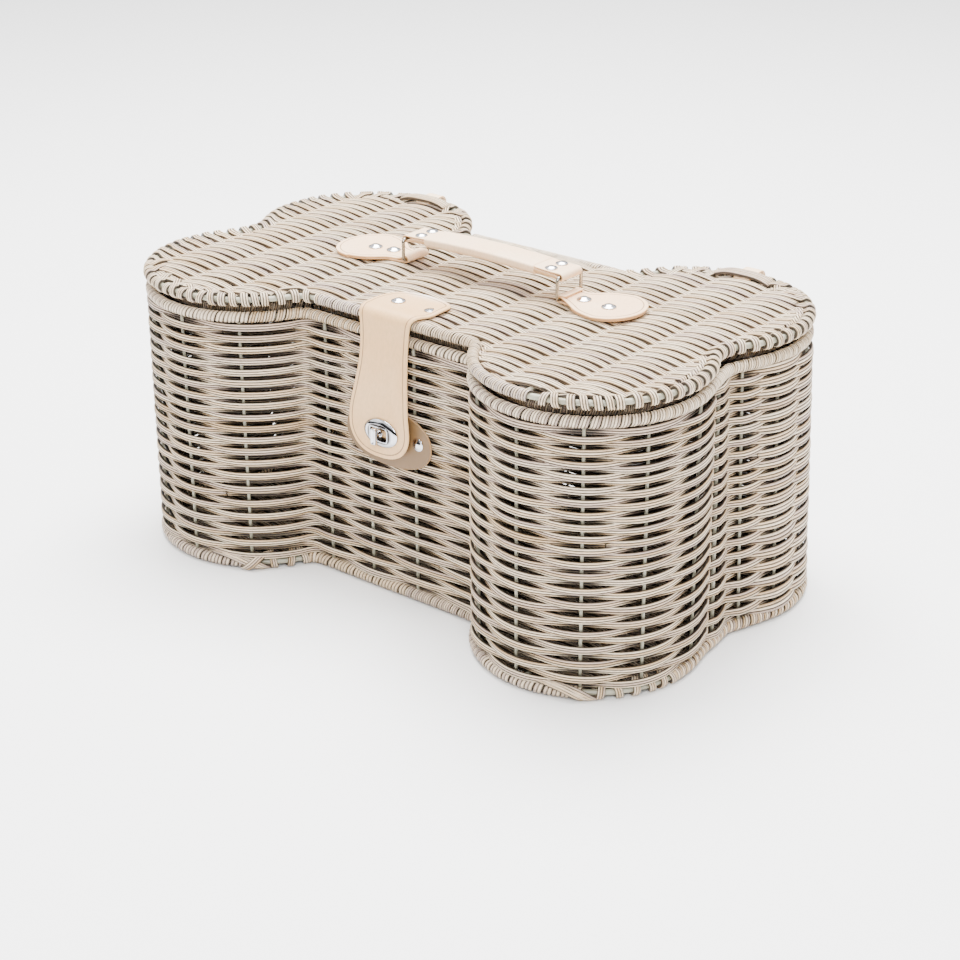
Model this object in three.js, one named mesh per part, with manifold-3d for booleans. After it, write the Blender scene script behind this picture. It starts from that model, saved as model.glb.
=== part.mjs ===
// Bone-shaped woven storage basket with a hinged woven lid, a leather carrying
// handle on two wire loops and a leather closing strap with a turn lock.
// Millimetres, +Z up, +X along the length, the strap and lock face -Y.
import * as THREE from 'three';
import { mergeVertices } from 'three/addons/utils/BufferGeometryUtils.js';
import Module from 'manifold-3d';

const wasm = await Module();
wasm.setup();

// ---------------------------------------------------------------- dimensions
// Plan outline of the rim wires: four round lobes, a straight waist front and
// back, and a hollow notch at each end.
const LOBE_X = 185.5;        // lobe centre
const LOBE_Y = 72.6;
const LOBE_R = 94.5;
const WAIST_Y = 105.4;       // straight waist edge
const WAIST_FILLET = 54.0;   // hollow between waist and lobe
const NOTCH_FILLET = 40.0;   // hollow at each end, on the X axis

const Z_BASE = 6.0;          // centre height of the base rim
const Z_TOP = 239.3;         // centre height of the body rim
const Z_LID = 254.9;         // centre height of the lid rim
const RIM_R = 6.0;           // wrapped rim, outside radius
const WIRE_R = 2.5;          // rim wire radius
const STAKE_R = 1.7;         // upright and cross wires
const WEAVE_HALF = 5.0;      // half the thickness of a woven wall
const GAP = 0.4;             // running gap between neighbouring pieces

// uprights: distance along the outline from the middle of the waist
const UPRIGHTS = [88.5, 148, 204, 259.5, 310, 359.5, 405.5];
const BACK_UPRIGHTS = [88.5, 148, 209.5, 261.5, 310, 359.5, 405.5];   // clear of the hinge rivets
const FRONT_WAIST_UPRIGHTS = [-35, 27];   // x positions
const BACK_WAIST_UPRIGHTS = [-30.5, 30.5];
// wires that cross the lid and the base from front to back
const LID_WIRES = [-228, -175, -130, -81, -27, 36, 87, 134.5, 188, 232];
const BASE_WIRES = [-232, -186, -135, -84, -29, 29, 84, 135, 186, 232];

const LID_LIP_IN = 11.5;     // locating lip under the lid, inset from the rim
const LID_LIP_R = 3.5;
const LID_LIP_Z = 245.4;

const LEATHER = 2.4;         // strap leather
const LID_TOP = 260.2;       // leather rests here on the lid weave

// handle
const HANDLE_X = 13;         // middle of the handle
const HANDLE_Y = 13;
const LOOP_SPAN = 85;        // half distance between the two loops
const LOOP_WIRE_R = 1.5;
const LOOP_WIDTH = 33;       // between leg centres
const LOOP_LEG = 19;         // between bar centres
const LOOP_Z = 264.1;        // lower bar centre
const HANDLE_W = 28;
const EYE_R = 1.9;           // inside radius of a leather fold round a bar
const FOLD_R = 3.5;          // outside radius of that fold
const HANDLE_T = 3.4;        // two layers
const HANDLE_CROWN = 3.5;

// closing strap and lock
const STRAP_X = 2.0;
const LOCK_X = 3.0;
const LOCK_Z = 158.0;
const PATCH_Z = 151.0;
const HINGE_X = 181.5;
const HINGE_HALF = 10;

// The whole part is moved so that the origin is under the middle of its box.
const Y_SHIFT = -1.985;

// ---------------------------------------------------------------- materials
const mat = (name, color, roughness, metalness) => {
  const m = new THREE.MeshStandardMaterial({ color, roughness, metalness });
  m.name = name;
  return m;
};
const RATTAN = mat('rattan', 0xcdc3b6, 0.6, 0);
const RATTAN_LID = mat('rattan_lid', 0xe1dad0, 0.6, 0);
const WIRE = mat('coated_wire', 0xbbb8ac, 0.45, 0.1);
const HIDE = mat('leather', 0xe6d5c2, 0.55, 0);
const CHROME = mat('chrome', 0xdedede, 0.12, 1);

// ---------------------------------------------------------------- helpers
const root = new THREE.Group();
root.name = 'woven_basket';
root.position.set(0, Y_SHIFT, 0);

function clean(g) {
  const c = g.index ? g.clone() : g.clone();
  for (const k of Object.keys(c.attributes)) if (k !== 'position') c.deleteAttribute(k);
  c.clearGroups();
  return mergeVertices(c, 1e-4);
}
function toManifold(g) {
  const c = clean(g);
  return new wasm.Manifold(new wasm.Mesh({
    numProp: 3,
    vertProperties: new Float32Array(c.attributes.position.array),
    triVerts: new Uint32Array(c.index.array),
  }));
}
function fromManifold(m) {
  const mesh = m.getMesh();
  const g = new THREE.BufferGeometry();
  const p = new Float32Array(mesh.numVert * 3);
  for (let i = 0; i < mesh.numVert; i++)
    for (let k = 0; k < 3; k++) p[i * 3 + k] = mesh.vertProperties[i * mesh.numProp + k];
  g.setAttribute('position', new THREE.BufferAttribute(p, 3));
  g.setIndex(new THREE.BufferAttribute(new Uint32Array(mesh.triVerts), 1));
  return g;
}
const cut = (g, tools) => {
  let m = toManifold(g);
  for (const t of tools) m = m.subtract(toManifold(t));
  return fromManifold(m);
};
const join = (gs) => {
  let m = toManifold(gs[0]);
  for (const t of gs.slice(1)) m = m.add(toManifold(t));
  return fromManifold(m);
};
function add(name, geometry, material, parent = root) {
  const flat = geometry.index ? geometry.toNonIndexed() : geometry;
  flat.computeVertexNormals();
  const mesh = new THREE.Mesh(flat, material);
  mesh.name = name;
  parent.add(mesh);
  return mesh;
}
const at = (g, x, y, z) => g.clone().translate(x, y, z);

// A closed skin through rings of points. Every ring has the same number of
// points; the last ring joins the first, or both ends are closed with a fan.
function skin(rings, closed) {
  const n = rings[0].length, m = rings.length, p = [], idx = [];
  for (const r of rings) for (const v of r) p.push(v[0], v[1], v[2]);
  const last = closed ? m : m - 1;
  for (let i = 0; i < last; i++) for (let j = 0; j < n; j++) {
    const a = i * n + j, b = i * n + (j + 1) % n;
    const c = ((i + 1) % m) * n + j, d = ((i + 1) % m) * n + (j + 1) % n;
    idx.push(a, c, b, b, c, d);
  }
  if (!closed) {
    for (let j = 1; j < n - 1; j++) {
      idx.push(0, j, j + 1);
      const o = (m - 1) * n;
      idx.push(o, o + j + 1, o + j);
    }
  }
  let vol = 0;
  const P = (i) => new THREE.Vector3(p[i * 3], p[i * 3 + 1], p[i * 3 + 2]);
  for (let i = 0; i < idx.length; i += 3) vol += P(idx[i]).dot(P(idx[i + 1]).cross(P(idx[i + 2])));
  if (vol < 0) for (let i = 0; i < idx.length; i += 3) [idx[i + 1], idx[i + 2]] = [idx[i + 2], idx[i + 1]];
  const g = new THREE.BufferGeometry();
  g.setAttribute('position', new THREE.BufferAttribute(new Float32Array(p), 3));
  g.setIndex(idx);
  return g;
}

// ---------------------------------------------------------------- outline
const X1 = LOBE_X - Math.sqrt((LOBE_R + WAIST_FILLET) ** 2 - (LOBE_Y - WAIST_Y - WAIST_FILLET) ** 2);
const XE = LOBE_X + Math.sqrt((LOBE_R + NOTCH_FILLET) ** 2 - LOBE_Y ** 2);
const A1 = Math.atan2(LOBE_Y - WAIST_Y - WAIST_FILLET, LOBE_X - X1);        // waist fillet -> lobe
const A2 = Math.atan2(-LOBE_Y, XE - LOBE_X);                                // lobe -> notch fillet
const LEN = [X1, WAIST_FILLET * (A1 + Math.PI / 2), LOBE_R * (A1 + Math.PI - A2), NOTCH_FILLET * (-A2)];
const QUARTER = LEN[0] + LEN[1] + LEN[2] + LEN[3];
// point of the first quarter at length s from the middle of the waist, moved d outwards
function quarter(s, d) {
  if (s <= LEN[0]) return [s, WAIST_Y + d];
  s -= LEN[0];
  if (s <= LEN[1]) {
    const a = -Math.PI / 2 + s / WAIST_FILLET, r = WAIST_FILLET - d;
    return [X1 + r * Math.cos(a), WAIST_Y + WAIST_FILLET + r * Math.sin(a)];
  }
  s -= LEN[1];
  if (s <= LEN[2]) {
    const a = A1 + Math.PI - s / LOBE_R, r = LOBE_R + d;
    return [LOBE_X + r * Math.cos(a), LOBE_Y + r * Math.sin(a)];
  }
  s -= LEN[2];
  const a = A2 + Math.PI + s / NOTCH_FILLET, r = NOTCH_FILLET - d;
  return [XE + r * Math.cos(a), r * Math.sin(a)];
}
// stations of one quarter, then mirrored round: 64 points in all
const STEPS = [1, 3, 10, 2];
const Q = [0];
for (let k = 0, s = 0; k < 4; k++) {
  for (let i = 1; i <= STEPS[k]; i++) Q.push(s + LEN[k] * i / STEPS[k]);
  s += LEN[k];
}
function outline(d) {
  const q = Q.map((s) => quarter(s, d));
  const out = [];
  for (let i = 0; i < q.length; i++) out.push([q[i][0], q[i][1]]);
  for (let i = q.length - 2; i >= 0; i--) out.push([q[i][0], -q[i][1]]);
  for (let i = 1; i < q.length; i++) out.push([-q[i][0], -q[i][1]]);
  for (let i = q.length - 2; i >= 1; i--) out.push([-q[i][0], q[i][1]]);
  return out.reverse();
}
// half depth of the outline at a given x, for wires that cross from side to side
function depthAt(x, d) {
  const o = outline(d);
  let best = 0;
  for (let i = 0; i < o.length; i++) {
    const [a, b] = [o[i], o[(i + 1) % o.length]];
    if ((a[0] - x) * (b[0] - x) <= 0 && a[0] !== b[0]) {
      const y = a[1] + (b[1] - a[1]) * (x - a[0]) / (b[0] - a[0]);
      if (y > best) best = y;
    }
  }
  return best;
}
// a section given as [outwards, up] pairs, swept round the outline
function ringOf(section, z) {
  const cols = section.map(([d, h]) => outline(d).map(([x, y]) => [x, y, z + h]));
  const rings = [];
  for (let i = 0; i < cols[0].length; i++) rings.push(cols.map((c) => c[i]));
  return skin(rings, true);
}
const polygon = (r, n, turn = 0) => [...Array(n)].map((_, i) => {
  const a = turn + i * 2 * Math.PI / n;
  return [r * Math.cos(a), r * Math.sin(a)];
});
function plate(points, z0, z1) {
  const s = new THREE.Shape(points.map(([x, y]) => new THREE.Vector2(x, y)));
  return at(new THREE.ExtrudeGeometry(s, { depth: z1 - z0, bevelEnabled: false }), 0, 0, z0);
}
const uprightWire = (x, y, z0, z1, r = STAKE_R, n = 6) =>
  new THREE.CylinderGeometry(r, r, z1 - z0, n).rotateX(Math.PI / 2).translate(x, y, (z0 + z1) / 2);
const crossWire = (x, z, r = STAKE_R, n = 6, half = depthAt(x, 0)) =>
  new THREE.CylinderGeometry(r, r, 2 * half, n).translate(x, 0, z);
const slotBox = (x, z, half, h) => new THREE.BoxGeometry(2 * h, 2 * half, 2 * h).translate(x, 0, z);

// point of the first quarter on the straight run between its two stations
function station(s) {
  let i = 0;
  while (i < Q.length - 2 && Q[i + 1] < s) i++;
  const a = quarter(Q[i], 0), b = quarter(Q[i + 1], 0), t = (s - Q[i]) / (Q[i + 1] - Q[i]);
  return [a[0] + (b[0] - a[0]) * t, a[1] + (b[1] - a[1]) * t];
}
const uprightAt = [];
UPRIGHTS.forEach((s, i) => {
  const [x, y] = station(s), [bx, by] = station(BACK_UPRIGHTS[i]);
  uprightAt.push([x, -y], [-x, -y], [bx, by], [-bx, by]);
});
for (const x of FRONT_WAIST_UPRIGHTS) uprightAt.push([x, -WAIST_Y]);
for (const x of BACK_WAIST_UPRIGHTS) uprightAt.push([x, WAIST_Y]);

// ---------------------------------------------------------------- rivets
// domed head on +Z, shank and clenched washer below; long is the grip
const RIVET = { head: 5.6, shank: 1.5, washer: 4.6 };
function rivet(long) {
  const pts = [[0, 2.0], [3.4, 1.5], [5.2, 0.6], [5.6, 0], [1.5, 0], [1.5, -long], [4.6, -long], [4.2, -long - 0.9], [0, -long - 0.9]];
  return new THREE.LatheGeometry(pts.reverse().map(([r, z]) => new THREE.Vector2(r, z)), 8).rotateX(Math.PI / 2);
}
const rivetHole = (x, y, z0, z1) => uprightWire(x, y, z0, z1, 2.0, 8);

const TAB_RIVETS = { left: [[-99, 14], [-118, 11]], right: [[114, 12.5], [141, 10.5]] };
const STRAP_RIVETS = [[-7, -84.5], [29.5, -86.5]];
const PATCH_RIVETS = [[-25, 153], [36.5, 153]];
const HINGE_LID_RIVET = 155;
const HINGE_BODY_RIVET = 211;

// ---------------------------------------------------------------- basket body
const frameParts = [
  ringOf(polygon(WIRE_R, 6), Z_BASE),
  ringOf(polygon(WIRE_R, 6), Z_TOP),
  ...uprightAt.map(([x, y]) => uprightWire(x, y, Z_BASE, Z_TOP)),
  ...BASE_WIRES.map((x) => crossWire(x, Z_BASE)),
];
add('body_frame', join(frameParts), WIRE);

const WALL_BOTTOM = Z_BASE + RIM_R + GAP, WALL_TOP = Z_TOP - RIM_R - GAP;
const wall = ringOf([[-WEAVE_HALF, 0], [WEAVE_HALF, 0], [WEAVE_HALF, WALL_TOP - WALL_BOTTOM], [-WEAVE_HALF, WALL_TOP - WALL_BOTTOM]], WALL_BOTTOM);
const wallCuts = uprightAt.map(([x, y]) => {
  const g = new THREE.BoxGeometry(4.4, 4.4, 260);
  return at(g, x, y, 120);
});
for (const [x, z] of PATCH_RIVETS) wallCuts.push(new THREE.CylinderGeometry(2.0, 2.0, 20, 8).translate(x, -WAIST_Y, z));
for (const side of [-1, 1]) wallCuts.push(new THREE.CylinderGeometry(2.0, 2.0, 24, 8).translate(side * HINGE_X, LOBE_Y + LOBE_R, HINGE_BODY_RIVET));
add('woven_wall', cut(wall, wallCuts), RATTAN);

const BASE_EDGE = -RIM_R - GAP;
add('woven_base', cut(plate(outline(BASE_EDGE), Z_BASE - 4.8, Z_BASE + 4.8),
  BASE_WIRES.map((x) => slotBox(x, Z_BASE, 200, 2.1))), RATTAN);

// Wrapped rims are open channels: the wires that meet the ring pass the opening.
add('base_rim_wrap', ringOf([[2.4, 5.6], [6, 2.4], [6, -3.2], [3.5, -6], [-3.5, -6], [-6, -3.2], [-6, -2.2],
  [-3.1, -2.9], [3.0, -2.9], [3.1, 2.0], [2.4, 3.1]], Z_BASE), RATTAN);
add('top_rim_wrap', ringOf([[2.4, -5.7], [6, -2.6], [6, 2.6], [2.8, 6], [-2.8, 6], [-6, 2.6], [-6, -2.6], [-2.4, -5.7],
  [-2.9, -2.6], [-2.9, 2.9], [2.9, 2.9], [2.9, -2.6]], Z_TOP), RATTAN);

// ---------------------------------------------------------------- lid
const lid = new THREE.Group();
lid.name = 'lid';
root.add(lid);
add('lid_frame', join([ringOf(polygon(WIRE_R, 6), Z_LID), ...LID_WIRES.map((x) => crossWire(x, Z_LID))]), WIRE, lid);
const lidHoles = LID_WIRES.map((x) => slotBox(x, Z_LID, 200, 2.1));
for (const k of ['left', 'right']) for (const [x, y] of TAB_RIVETS[k]) lidHoles.push(rivetHole(x, y, 240, 270));
for (const [x, y] of STRAP_RIVETS) lidHoles.push(rivetHole(x, y, 240, 270));
for (const side of [-1, 1]) lidHoles.push(rivetHole(side * HINGE_X, HINGE_LID_RIVET, 240, 270));
add('woven_lid', cut(plate(outline(-RIM_R - GAP), Z_LID - WEAVE_HALF, Z_LID + WEAVE_HALF), lidHoles), RATTAN_LID, lid);
add('lid_rim_wrap', ringOf([[-5.7, 2.4], [-2.6, 6], [2.6, 6], [6, 2.8], [6, -2.8], [2.6, -6], [-2.6, -6], [-5.7, -2.4],
  [-2.6, -2.9], [2.9, -2.9], [2.9, 2.9], [-2.6, 2.9]], Z_LID), RATTAN_LID, lid);
add('lid_lip_ring', ringOf(polygon(LID_LIP_R, 6).map(([d, h]) => [d - LID_LIP_IN, h]), LID_LIP_Z), RATTAN, lid);

// ---------------------------------------------------------------- leather strips
// a strip whose middle line lies in a Y-Z plane: stations [y, z, half width, centre x]
function strip(stations, t) {
  const rings = stations.map((s, i) => {
    const a = stations[Math.max(i - 1, 0)], b = stations[Math.min(i + 1, stations.length - 1)];
    const dy = b[0] - a[0], dz = b[1] - a[1], l = Math.hypot(dy, dz);
    const ny = -dz / l, nz = dy / l, [y, z, w, x] = s, h = t / 2;
    return [[x - w, y + ny * h, z + nz * h], [x + w, y + ny * h, z + nz * h], [x + w, y - ny * h, z - nz * h], [x - w, y - ny * h, z - nz * h]];
  });
  return skin(rings, false);
}
const STRAP_PATH = [
  [-60.3, 261.5, 8, 4.5], [-63, 261.5, 18.5, 4.5], [-68, 261.5, 26.5, 4.5], [-76, 261.5, 32.5, 4.5], [-86, 261.5, 35.3, 4.5],
  [-94, 261.7, 35.2, 4.5], [-100, 262.5, 33.5, 4.2], [-105.4, 262.8, 31.8, 4], [-110.0, 262.1, 30.3, 3.8], [-113.1, 259.4, 29.2, 3.6],
  [-114.1, 254.9, 28.3, 3.5], [-114.1, 245, 27.2, 3.3], [-114.4, 232, 26.2, 3], [-115.5, 218, 26, 2.6], [-116.8, 203, 27.4, 2.3],
  [-118, 190, 29.6, 2], [-119.4, 179, 31.5, 1.8], [-120, 170, 32.9, 1.8], [-120, 157, 33, 1.8], [-120, 149, 30.6, 1.8],
  [-120, 142.5, 25, 1.8], [-120, 138.2, 16.5, 1.8], [-120, 136, 7, 1.8],
];
const LOCK_Y = -120;   // middle of the strap at the lock
const box = (x0, x1, y0, y1, z0, z1) => new THREE.BoxGeometry(x1 - x0, y1 - y0, z1 - z0).translate((x0 + x1) / 2, (y0 + y1) / 2, (z0 + z1) / 2);
add('closure_strap', cut(strip(STRAP_PATH, LEATHER), [
  box(LOCK_X - 10.4, LOCK_X + 10.4, -130, -110, LOCK_Z - 5.9, LOCK_Z + 5.9),
  ...STRAP_RIVETS.map(([x, y]) => rivetHole(x, y, 250, 275)),
]), HIDE, lid);
STRAP_RIVETS.forEach(([x, y], i) => add(`closure_rivet_${i + 1}`, at(rivet(13.7), x, y, LID_TOP + LEATHER + 0.6), CHROME, lid));

// handle tabs: a round plate on the lid whose neck folds round the loop's lower bar
function oval(cx, cy, a, b, n, p = 2) {
  return [...Array(n)].map((_, i) => {
    const t = i * 2 * Math.PI / n, c = Math.cos(t), s = Math.sin(t);
    return [cx + a * Math.sign(c) * Math.abs(c) ** (2 / p), cy + b * Math.sign(s) * Math.abs(s) ** (2 / p)];
  });
}
const TAB_T = 3.2;
function tab(side, bulbX, bulbY, bulbR, rivets) {
  const bx = HANDLE_X + side * LOOP_SPAN, zb = LOOP_Z - LID_TOP;
  // neck profile, x outwards from the bar, z up from the lid
  const prof = new THREE.Shape();
  const P = [];
  for (let i = 0; i <= 8; i++) {
    const a = Math.PI / 2 + i * Math.PI / 8;
    P.push([FOLD_R * Math.cos(a), zb + FOLD_R * Math.sin(a)]);
  }
  P.push([11, 0.1], [26, 0.1], [26, 0.1 + TAB_T], [11, 0.1 + TAB_T + 0.6]);
  prof.setFromPoints(P.map(([x, z]) => new THREE.Vector2(x, z)));
  const eye = new THREE.Path();
  const E = [];
  for (let i = 0; i < 8; i++) E.push([EYE_R * Math.cos(i * Math.PI / 4), zb + EYE_R * Math.sin(i * Math.PI / 4)]);
  eye.setFromPoints(E.map(([x, z]) => new THREE.Vector2(x, z)));
  prof.holes.push(eye);
  const neck = new THREE.ExtrudeGeometry(prof, { depth: HANDLE_W, bevelEnabled: false })
    .rotateX(Math.PI / 2).translate(0, HANDLE_W / 2, 0);
  if (side < 0) neck.scale(-1, 1, 1);
  let n = neck.translate(bx, HANDLE_Y, LID_TOP);
  if (side < 0) { // mirrored faces point in again once their order is swapped
    const idx = clean(n), a = idx.index.array;
    for (let i = 0; i < a.length; i += 3) [a[i + 1], a[i + 2]] = [a[i + 2], a[i + 1]];
    n = idx;
  }
  const bulb = plate(oval(bulbX, bulbY, bulbR, bulbR, 24), LID_TOP + 0.1, LID_TOP + 0.1 + TAB_T);
  return cut(join([n, bulb]), rivets.map(([x, y]) => rivetHole(x, y, 250, 275)));
}
add('handle_tab_left', tab(-1, -124, 12.5, 32.5, TAB_RIVETS.left), HIDE, lid);
add('handle_tab_right', tab(1, 137.5, 14.5, 32.5, TAB_RIVETS.right), HIDE, lid);
for (const k of ['left', 'right']) TAB_RIVETS[k].forEach(([x, y], i) => add(`tab_${k}_rivet_${i + 1}`, at(rivet(14.9), x, y, LID_TOP + 0.1 + TAB_T + 0.9), CHROME, lid));

// ---------------------------------------------------------------- handle loops
function wireLoop() {
  const w = LOOP_WIDTH / 2, h = LOOP_LEG, r = 2.6, pts = [];
  const corner = (cy, cz, a0) => { for (let i = 0; i <= 2; i++) { const a = a0 + i * Math.PI / 4; pts.push([cy + r * Math.cos(a), cz + r * Math.sin(a)]); } };
  corner(w - r, h - r, 0); corner(-w + r, h - r, Math.PI / 2); corner(-w + r, r, Math.PI); corner(w - r, r, -Math.PI / 2);
  const n = pts.length, rings = [];
  for (let i = 0; i < n; i++) {
    const a = pts[(i + n - 1) % n], b = pts[(i + 1) % n];
    const l = Math.hypot(b[0] - a[0], b[1] - a[1]), ty = (b[0] - a[0]) / l, tz = (b[1] - a[1]) / l;
    rings.push(polygon(LOOP_WIRE_R, 6).map(([u, v]) => [u, pts[i][0] + v * tz, pts[i][1] - v * ty]));
  }
  return skin(rings, true);
}
for (const [name, side] of [['handle_loop_left', -1], ['handle_loop_right', 1]]) {
  const g = new THREE.Group();
  g.position.set(HANDLE_X + side * LOOP_SPAN, HANDLE_Y, LOOP_Z);
  lid.add(g);
  add(name, wireLoop(), CHROME, g);
}

// ---------------------------------------------------------------- handle strap
// side profile: arched double strap, each end folded round an upper bar and
// lying back on top as a short flap
const FLAP = 30, FLAP_T = 1.7;
const HANDLE_RIVET_X = LOOP_SPAN - 13.5;
function handleStrap() {
  const top = [], bottom = [], L = LOOP_SPAN, zc = (x) => HANDLE_CROWN * (1 - (x / L) ** 2);
  const N = 8;
  // lower edge, left to right, between the folds
  for (let i = 0; i <= N; i++) {
    const x = -L + 5 + (2 * L - 10) * i / N;
    bottom.push([x, zc(x) - HANDLE_T / 2 - 0.9]);
  }
  const right = [];
  for (let i = 0; i <= 8; i++) { const a = -Math.PI / 2 + i * Math.PI / 8; right.push([L + FOLD_R * Math.cos(a), FOLD_R * Math.sin(a)]); }
  const left = right.map(([x, z]) => [-x, z]).reverse();
  const xs = [L - FLAP, L - FLAP * 0.55];
  top.push([xs[1], zc(xs[1]) + HANDLE_T / 2 + 1.1], [xs[0], zc(xs[0]) + HANDLE_T / 2 + 0.7], [xs[0], zc(xs[0]) + HANDLE_T / 2 - 0.9]);
  for (let i = 1; i < 6; i++) { const x = xs[0] - 2 * xs[0] * i / 6; top.push([x, zc(x) + HANDLE_T / 2 - 0.9]); }
  top.push([-xs[0], zc(xs[0]) + HANDLE_T / 2 - 0.9], [-xs[0], zc(xs[0]) + HANDLE_T / 2 + 0.7], [-xs[1], zc(xs[1]) + HANDLE_T / 2 + 1.1]);
  const shape = new THREE.Shape([...bottom, ...right, ...top, ...left].map(([x, z]) => new THREE.Vector2(x, z)));
  for (const s of [-1, 1]) {
    const eye = [...Array(8)].map((_, i) => new THREE.Vector2(s * L + EYE_R * Math.cos(i * Math.PI / 4), EYE_R * Math.sin(i * Math.PI / 4)));
    shape.holes.push(new THREE.Path(eye));
  }
  const g = new THREE.ExtrudeGeometry(shape, { depth: HANDLE_W, bevelEnabled: false }).rotateX(Math.PI / 2).translate(0, HANDLE_W / 2, 0);
  const holes = [];
  for (const s of [-1, 1]) for (const y of [-7.3, 7.3]) holes.push(rivetHole(s * HANDLE_RIVET_X, y, -12, 16));
  return cut(g, holes);
}
const grip = new THREE.Group();
grip.position.set(HANDLE_X, HANDLE_Y, LOOP_Z + LOOP_LEG);
lid.add(grip);
add('handle_strap', handleStrap(), HIDE, grip);
const rivetTop = HANDLE_CROWN * (1 - (HANDLE_RIVET_X / LOOP_SPAN) ** 2) + HANDLE_T / 2 + 1.2;
[[-1, -7.3], [-1, 7.3], [1, -7.3], [1, 7.3]].forEach(([s, y], i) =>
  add(`handle_rivet_${i + 1}`, at(rivet(6.2), s * HANDLE_RIVET_X, y, rivetTop + 0.35), CHROME, grip));

// ---------------------------------------------------------------- hinge straps
const RY = LOBE_Y + LOBE_R;   // furthest back point of the rim wires
const HINGE_T = 2.0;
const hinge = (x) => [
  [148, LID_TOP + 1.05, 8, x], [150, LID_TOP + 1.05, HINGE_HALF, x], [160, LID_TOP + 1.9, HINGE_HALF, x], [RY, Z_LID + 7.45, HINGE_HALF, x],
  [RY + 4.4, Z_LID + 7.0, HINGE_HALF, x], [RY + 7.2, Z_LID + 4.3, HINGE_HALF, x], [RY + 7.8, Z_LID, HINGE_HALF, x], [RY + 7.7, 247, HINGE_HALF, x],
  [RY + 7.5, Z_TOP, HINGE_HALF, x], [RY + 7.1, 231, HINGE_HALF, x], [RY + 6.5, 224, HINGE_HALF, x], [RY + 6.5, 203, HINGE_HALF, x], [RY + 6.5, 200, 8, x],
];
[['left', -1], ['right', 1]].forEach(([k, s]) => {
  const x = s * HINGE_X;
  add(`hinge_strap_${k}`, cut(strip(hinge(x), HINGE_T), [
    rivetHole(x, HINGE_LID_RIVET, 250, 275),
    new THREE.CylinderGeometry(2.0, 2.0, 20, 8).translate(x, RY + 6, HINGE_BODY_RIVET),
  ]), HIDE);
  add(`hinge_lid_rivet_${k}`, at(rivet(13.7), x, HINGE_LID_RIVET, LID_TOP + 3.25), CHROME, lid);
  add(`hinge_body_rivet_${k}`, at(rivet(14.2).rotateX(-Math.PI / 2), x, RY + 7.5 + 0.45, HINGE_BODY_RIVET), CHROME);
});

// ---------------------------------------------------------------- turn lock
const WALL_Y = -WAIST_Y - WEAVE_HALF - GAP;             // -110.8
const PATCH_T = 2.2;
// plate standing in the X-Z plane between two y values
function upright(points, y0, y1) {
  const s = new THREE.Shape(points.map(([x, z]) => new THREE.Vector2(x, z)));
  return new THREE.ExtrudeGeometry(s, { depth: y1 - y0, bevelEnabled: false }).rotateX(Math.PI / 2).translate(0, y1, 0);
}
const bore = (x, z, r, y0, y1, n = 8) => new THREE.CylinderGeometry(r, r, y1 - y0, n).translate(x, (y0 + y1) / 2, z);
const PATCH_Y = WALL_Y - PATCH_T;                        // front face of the patch
add('lock_patch', cut(upright(oval(LOCK_X, PATCH_Z, 47.3, 26.3, 32, 2.3), PATCH_Y, WALL_Y),
  PATCH_RIVETS.map(([x, z]) => bore(x, z, 2.0, -120, -100))), HIDE);
PATCH_RIVETS.forEach(([x, z], i) =>
  add(`patch_rivet_${i + 1}`, at(rivet(13.6).rotateX(Math.PI / 2), x, PATCH_Y - 0.35, z), CHROME));

const BASE_Y = PATCH_Y - 0.35;                           // back of the lock base
const slot = (y0, y1, hx = 8.2, hz = 3.5) => box(LOCK_X - hx, LOCK_X + hx, y0, y1, LOCK_Z - hz, LOCK_Z + hz);
add('lock_base', cut(join([
  upright(oval(LOCK_X, LOCK_Z, 15, 9, 20), BASE_Y - 1.4, BASE_Y),
  bore(LOCK_X, LOCK_Z, 5.2, BASE_Y - 3.4, BASE_Y - 1.0, 12),
  bore(LOCK_X, LOCK_Z, 2.9, -123.4, BASE_Y - 1.0, 12),
]), [bore(LOCK_X, LOCK_Z, 2.1, -130, -116.0, 12)]), CHROME);
add('lock_back_plate', cut(upright(oval(STRAP_X + 1, LOCK_Z, 15.5, 10.5, 20), LOCK_Y + LEATHER / 2 + 0.35, LOCK_Y + LEATHER / 2 + 1.35), [slot(-130, -100, 8.4, 3.6)]), CHROME, lid);
const FACE_Y = LOCK_Y - LEATHER / 2 - 0.35;              // back of the oval face plate
add('lock_face_plate', cut(join([
  upright(oval(LOCK_X, LOCK_Z, 18.6, 12.6, 28), FACE_Y - 1.2, FACE_Y),
  box(LOCK_X - 9.8, LOCK_X + 9.8, FACE_Y - 0.4, FACE_Y + 2.4, LOCK_Z - 5.2, LOCK_Z + 5.2),
]), [slot(-130, -100, 8.2, 3.5)]), CHROME, lid);
const knob = new THREE.Group();
knob.position.set(LOCK_X, 0, LOCK_Z);
root.add(knob);
add('lock_knob', join([
  upright([[-1.6, -7.4], [1.6, -7.4], [2.7, -6], [2.7, 6], [1.6, 7.4], [-1.6, 7.4], [-2.7, 6], [-2.7, -6]], -132.4, -128.4),
  bore(0, 0, 1.6, -129.0, -116.5, 10),
]), CHROME, knob);

export default root;
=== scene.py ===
import math

import bpy
import bmesh
import numpy as np
from mathutils import Matrix, Vector


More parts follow.
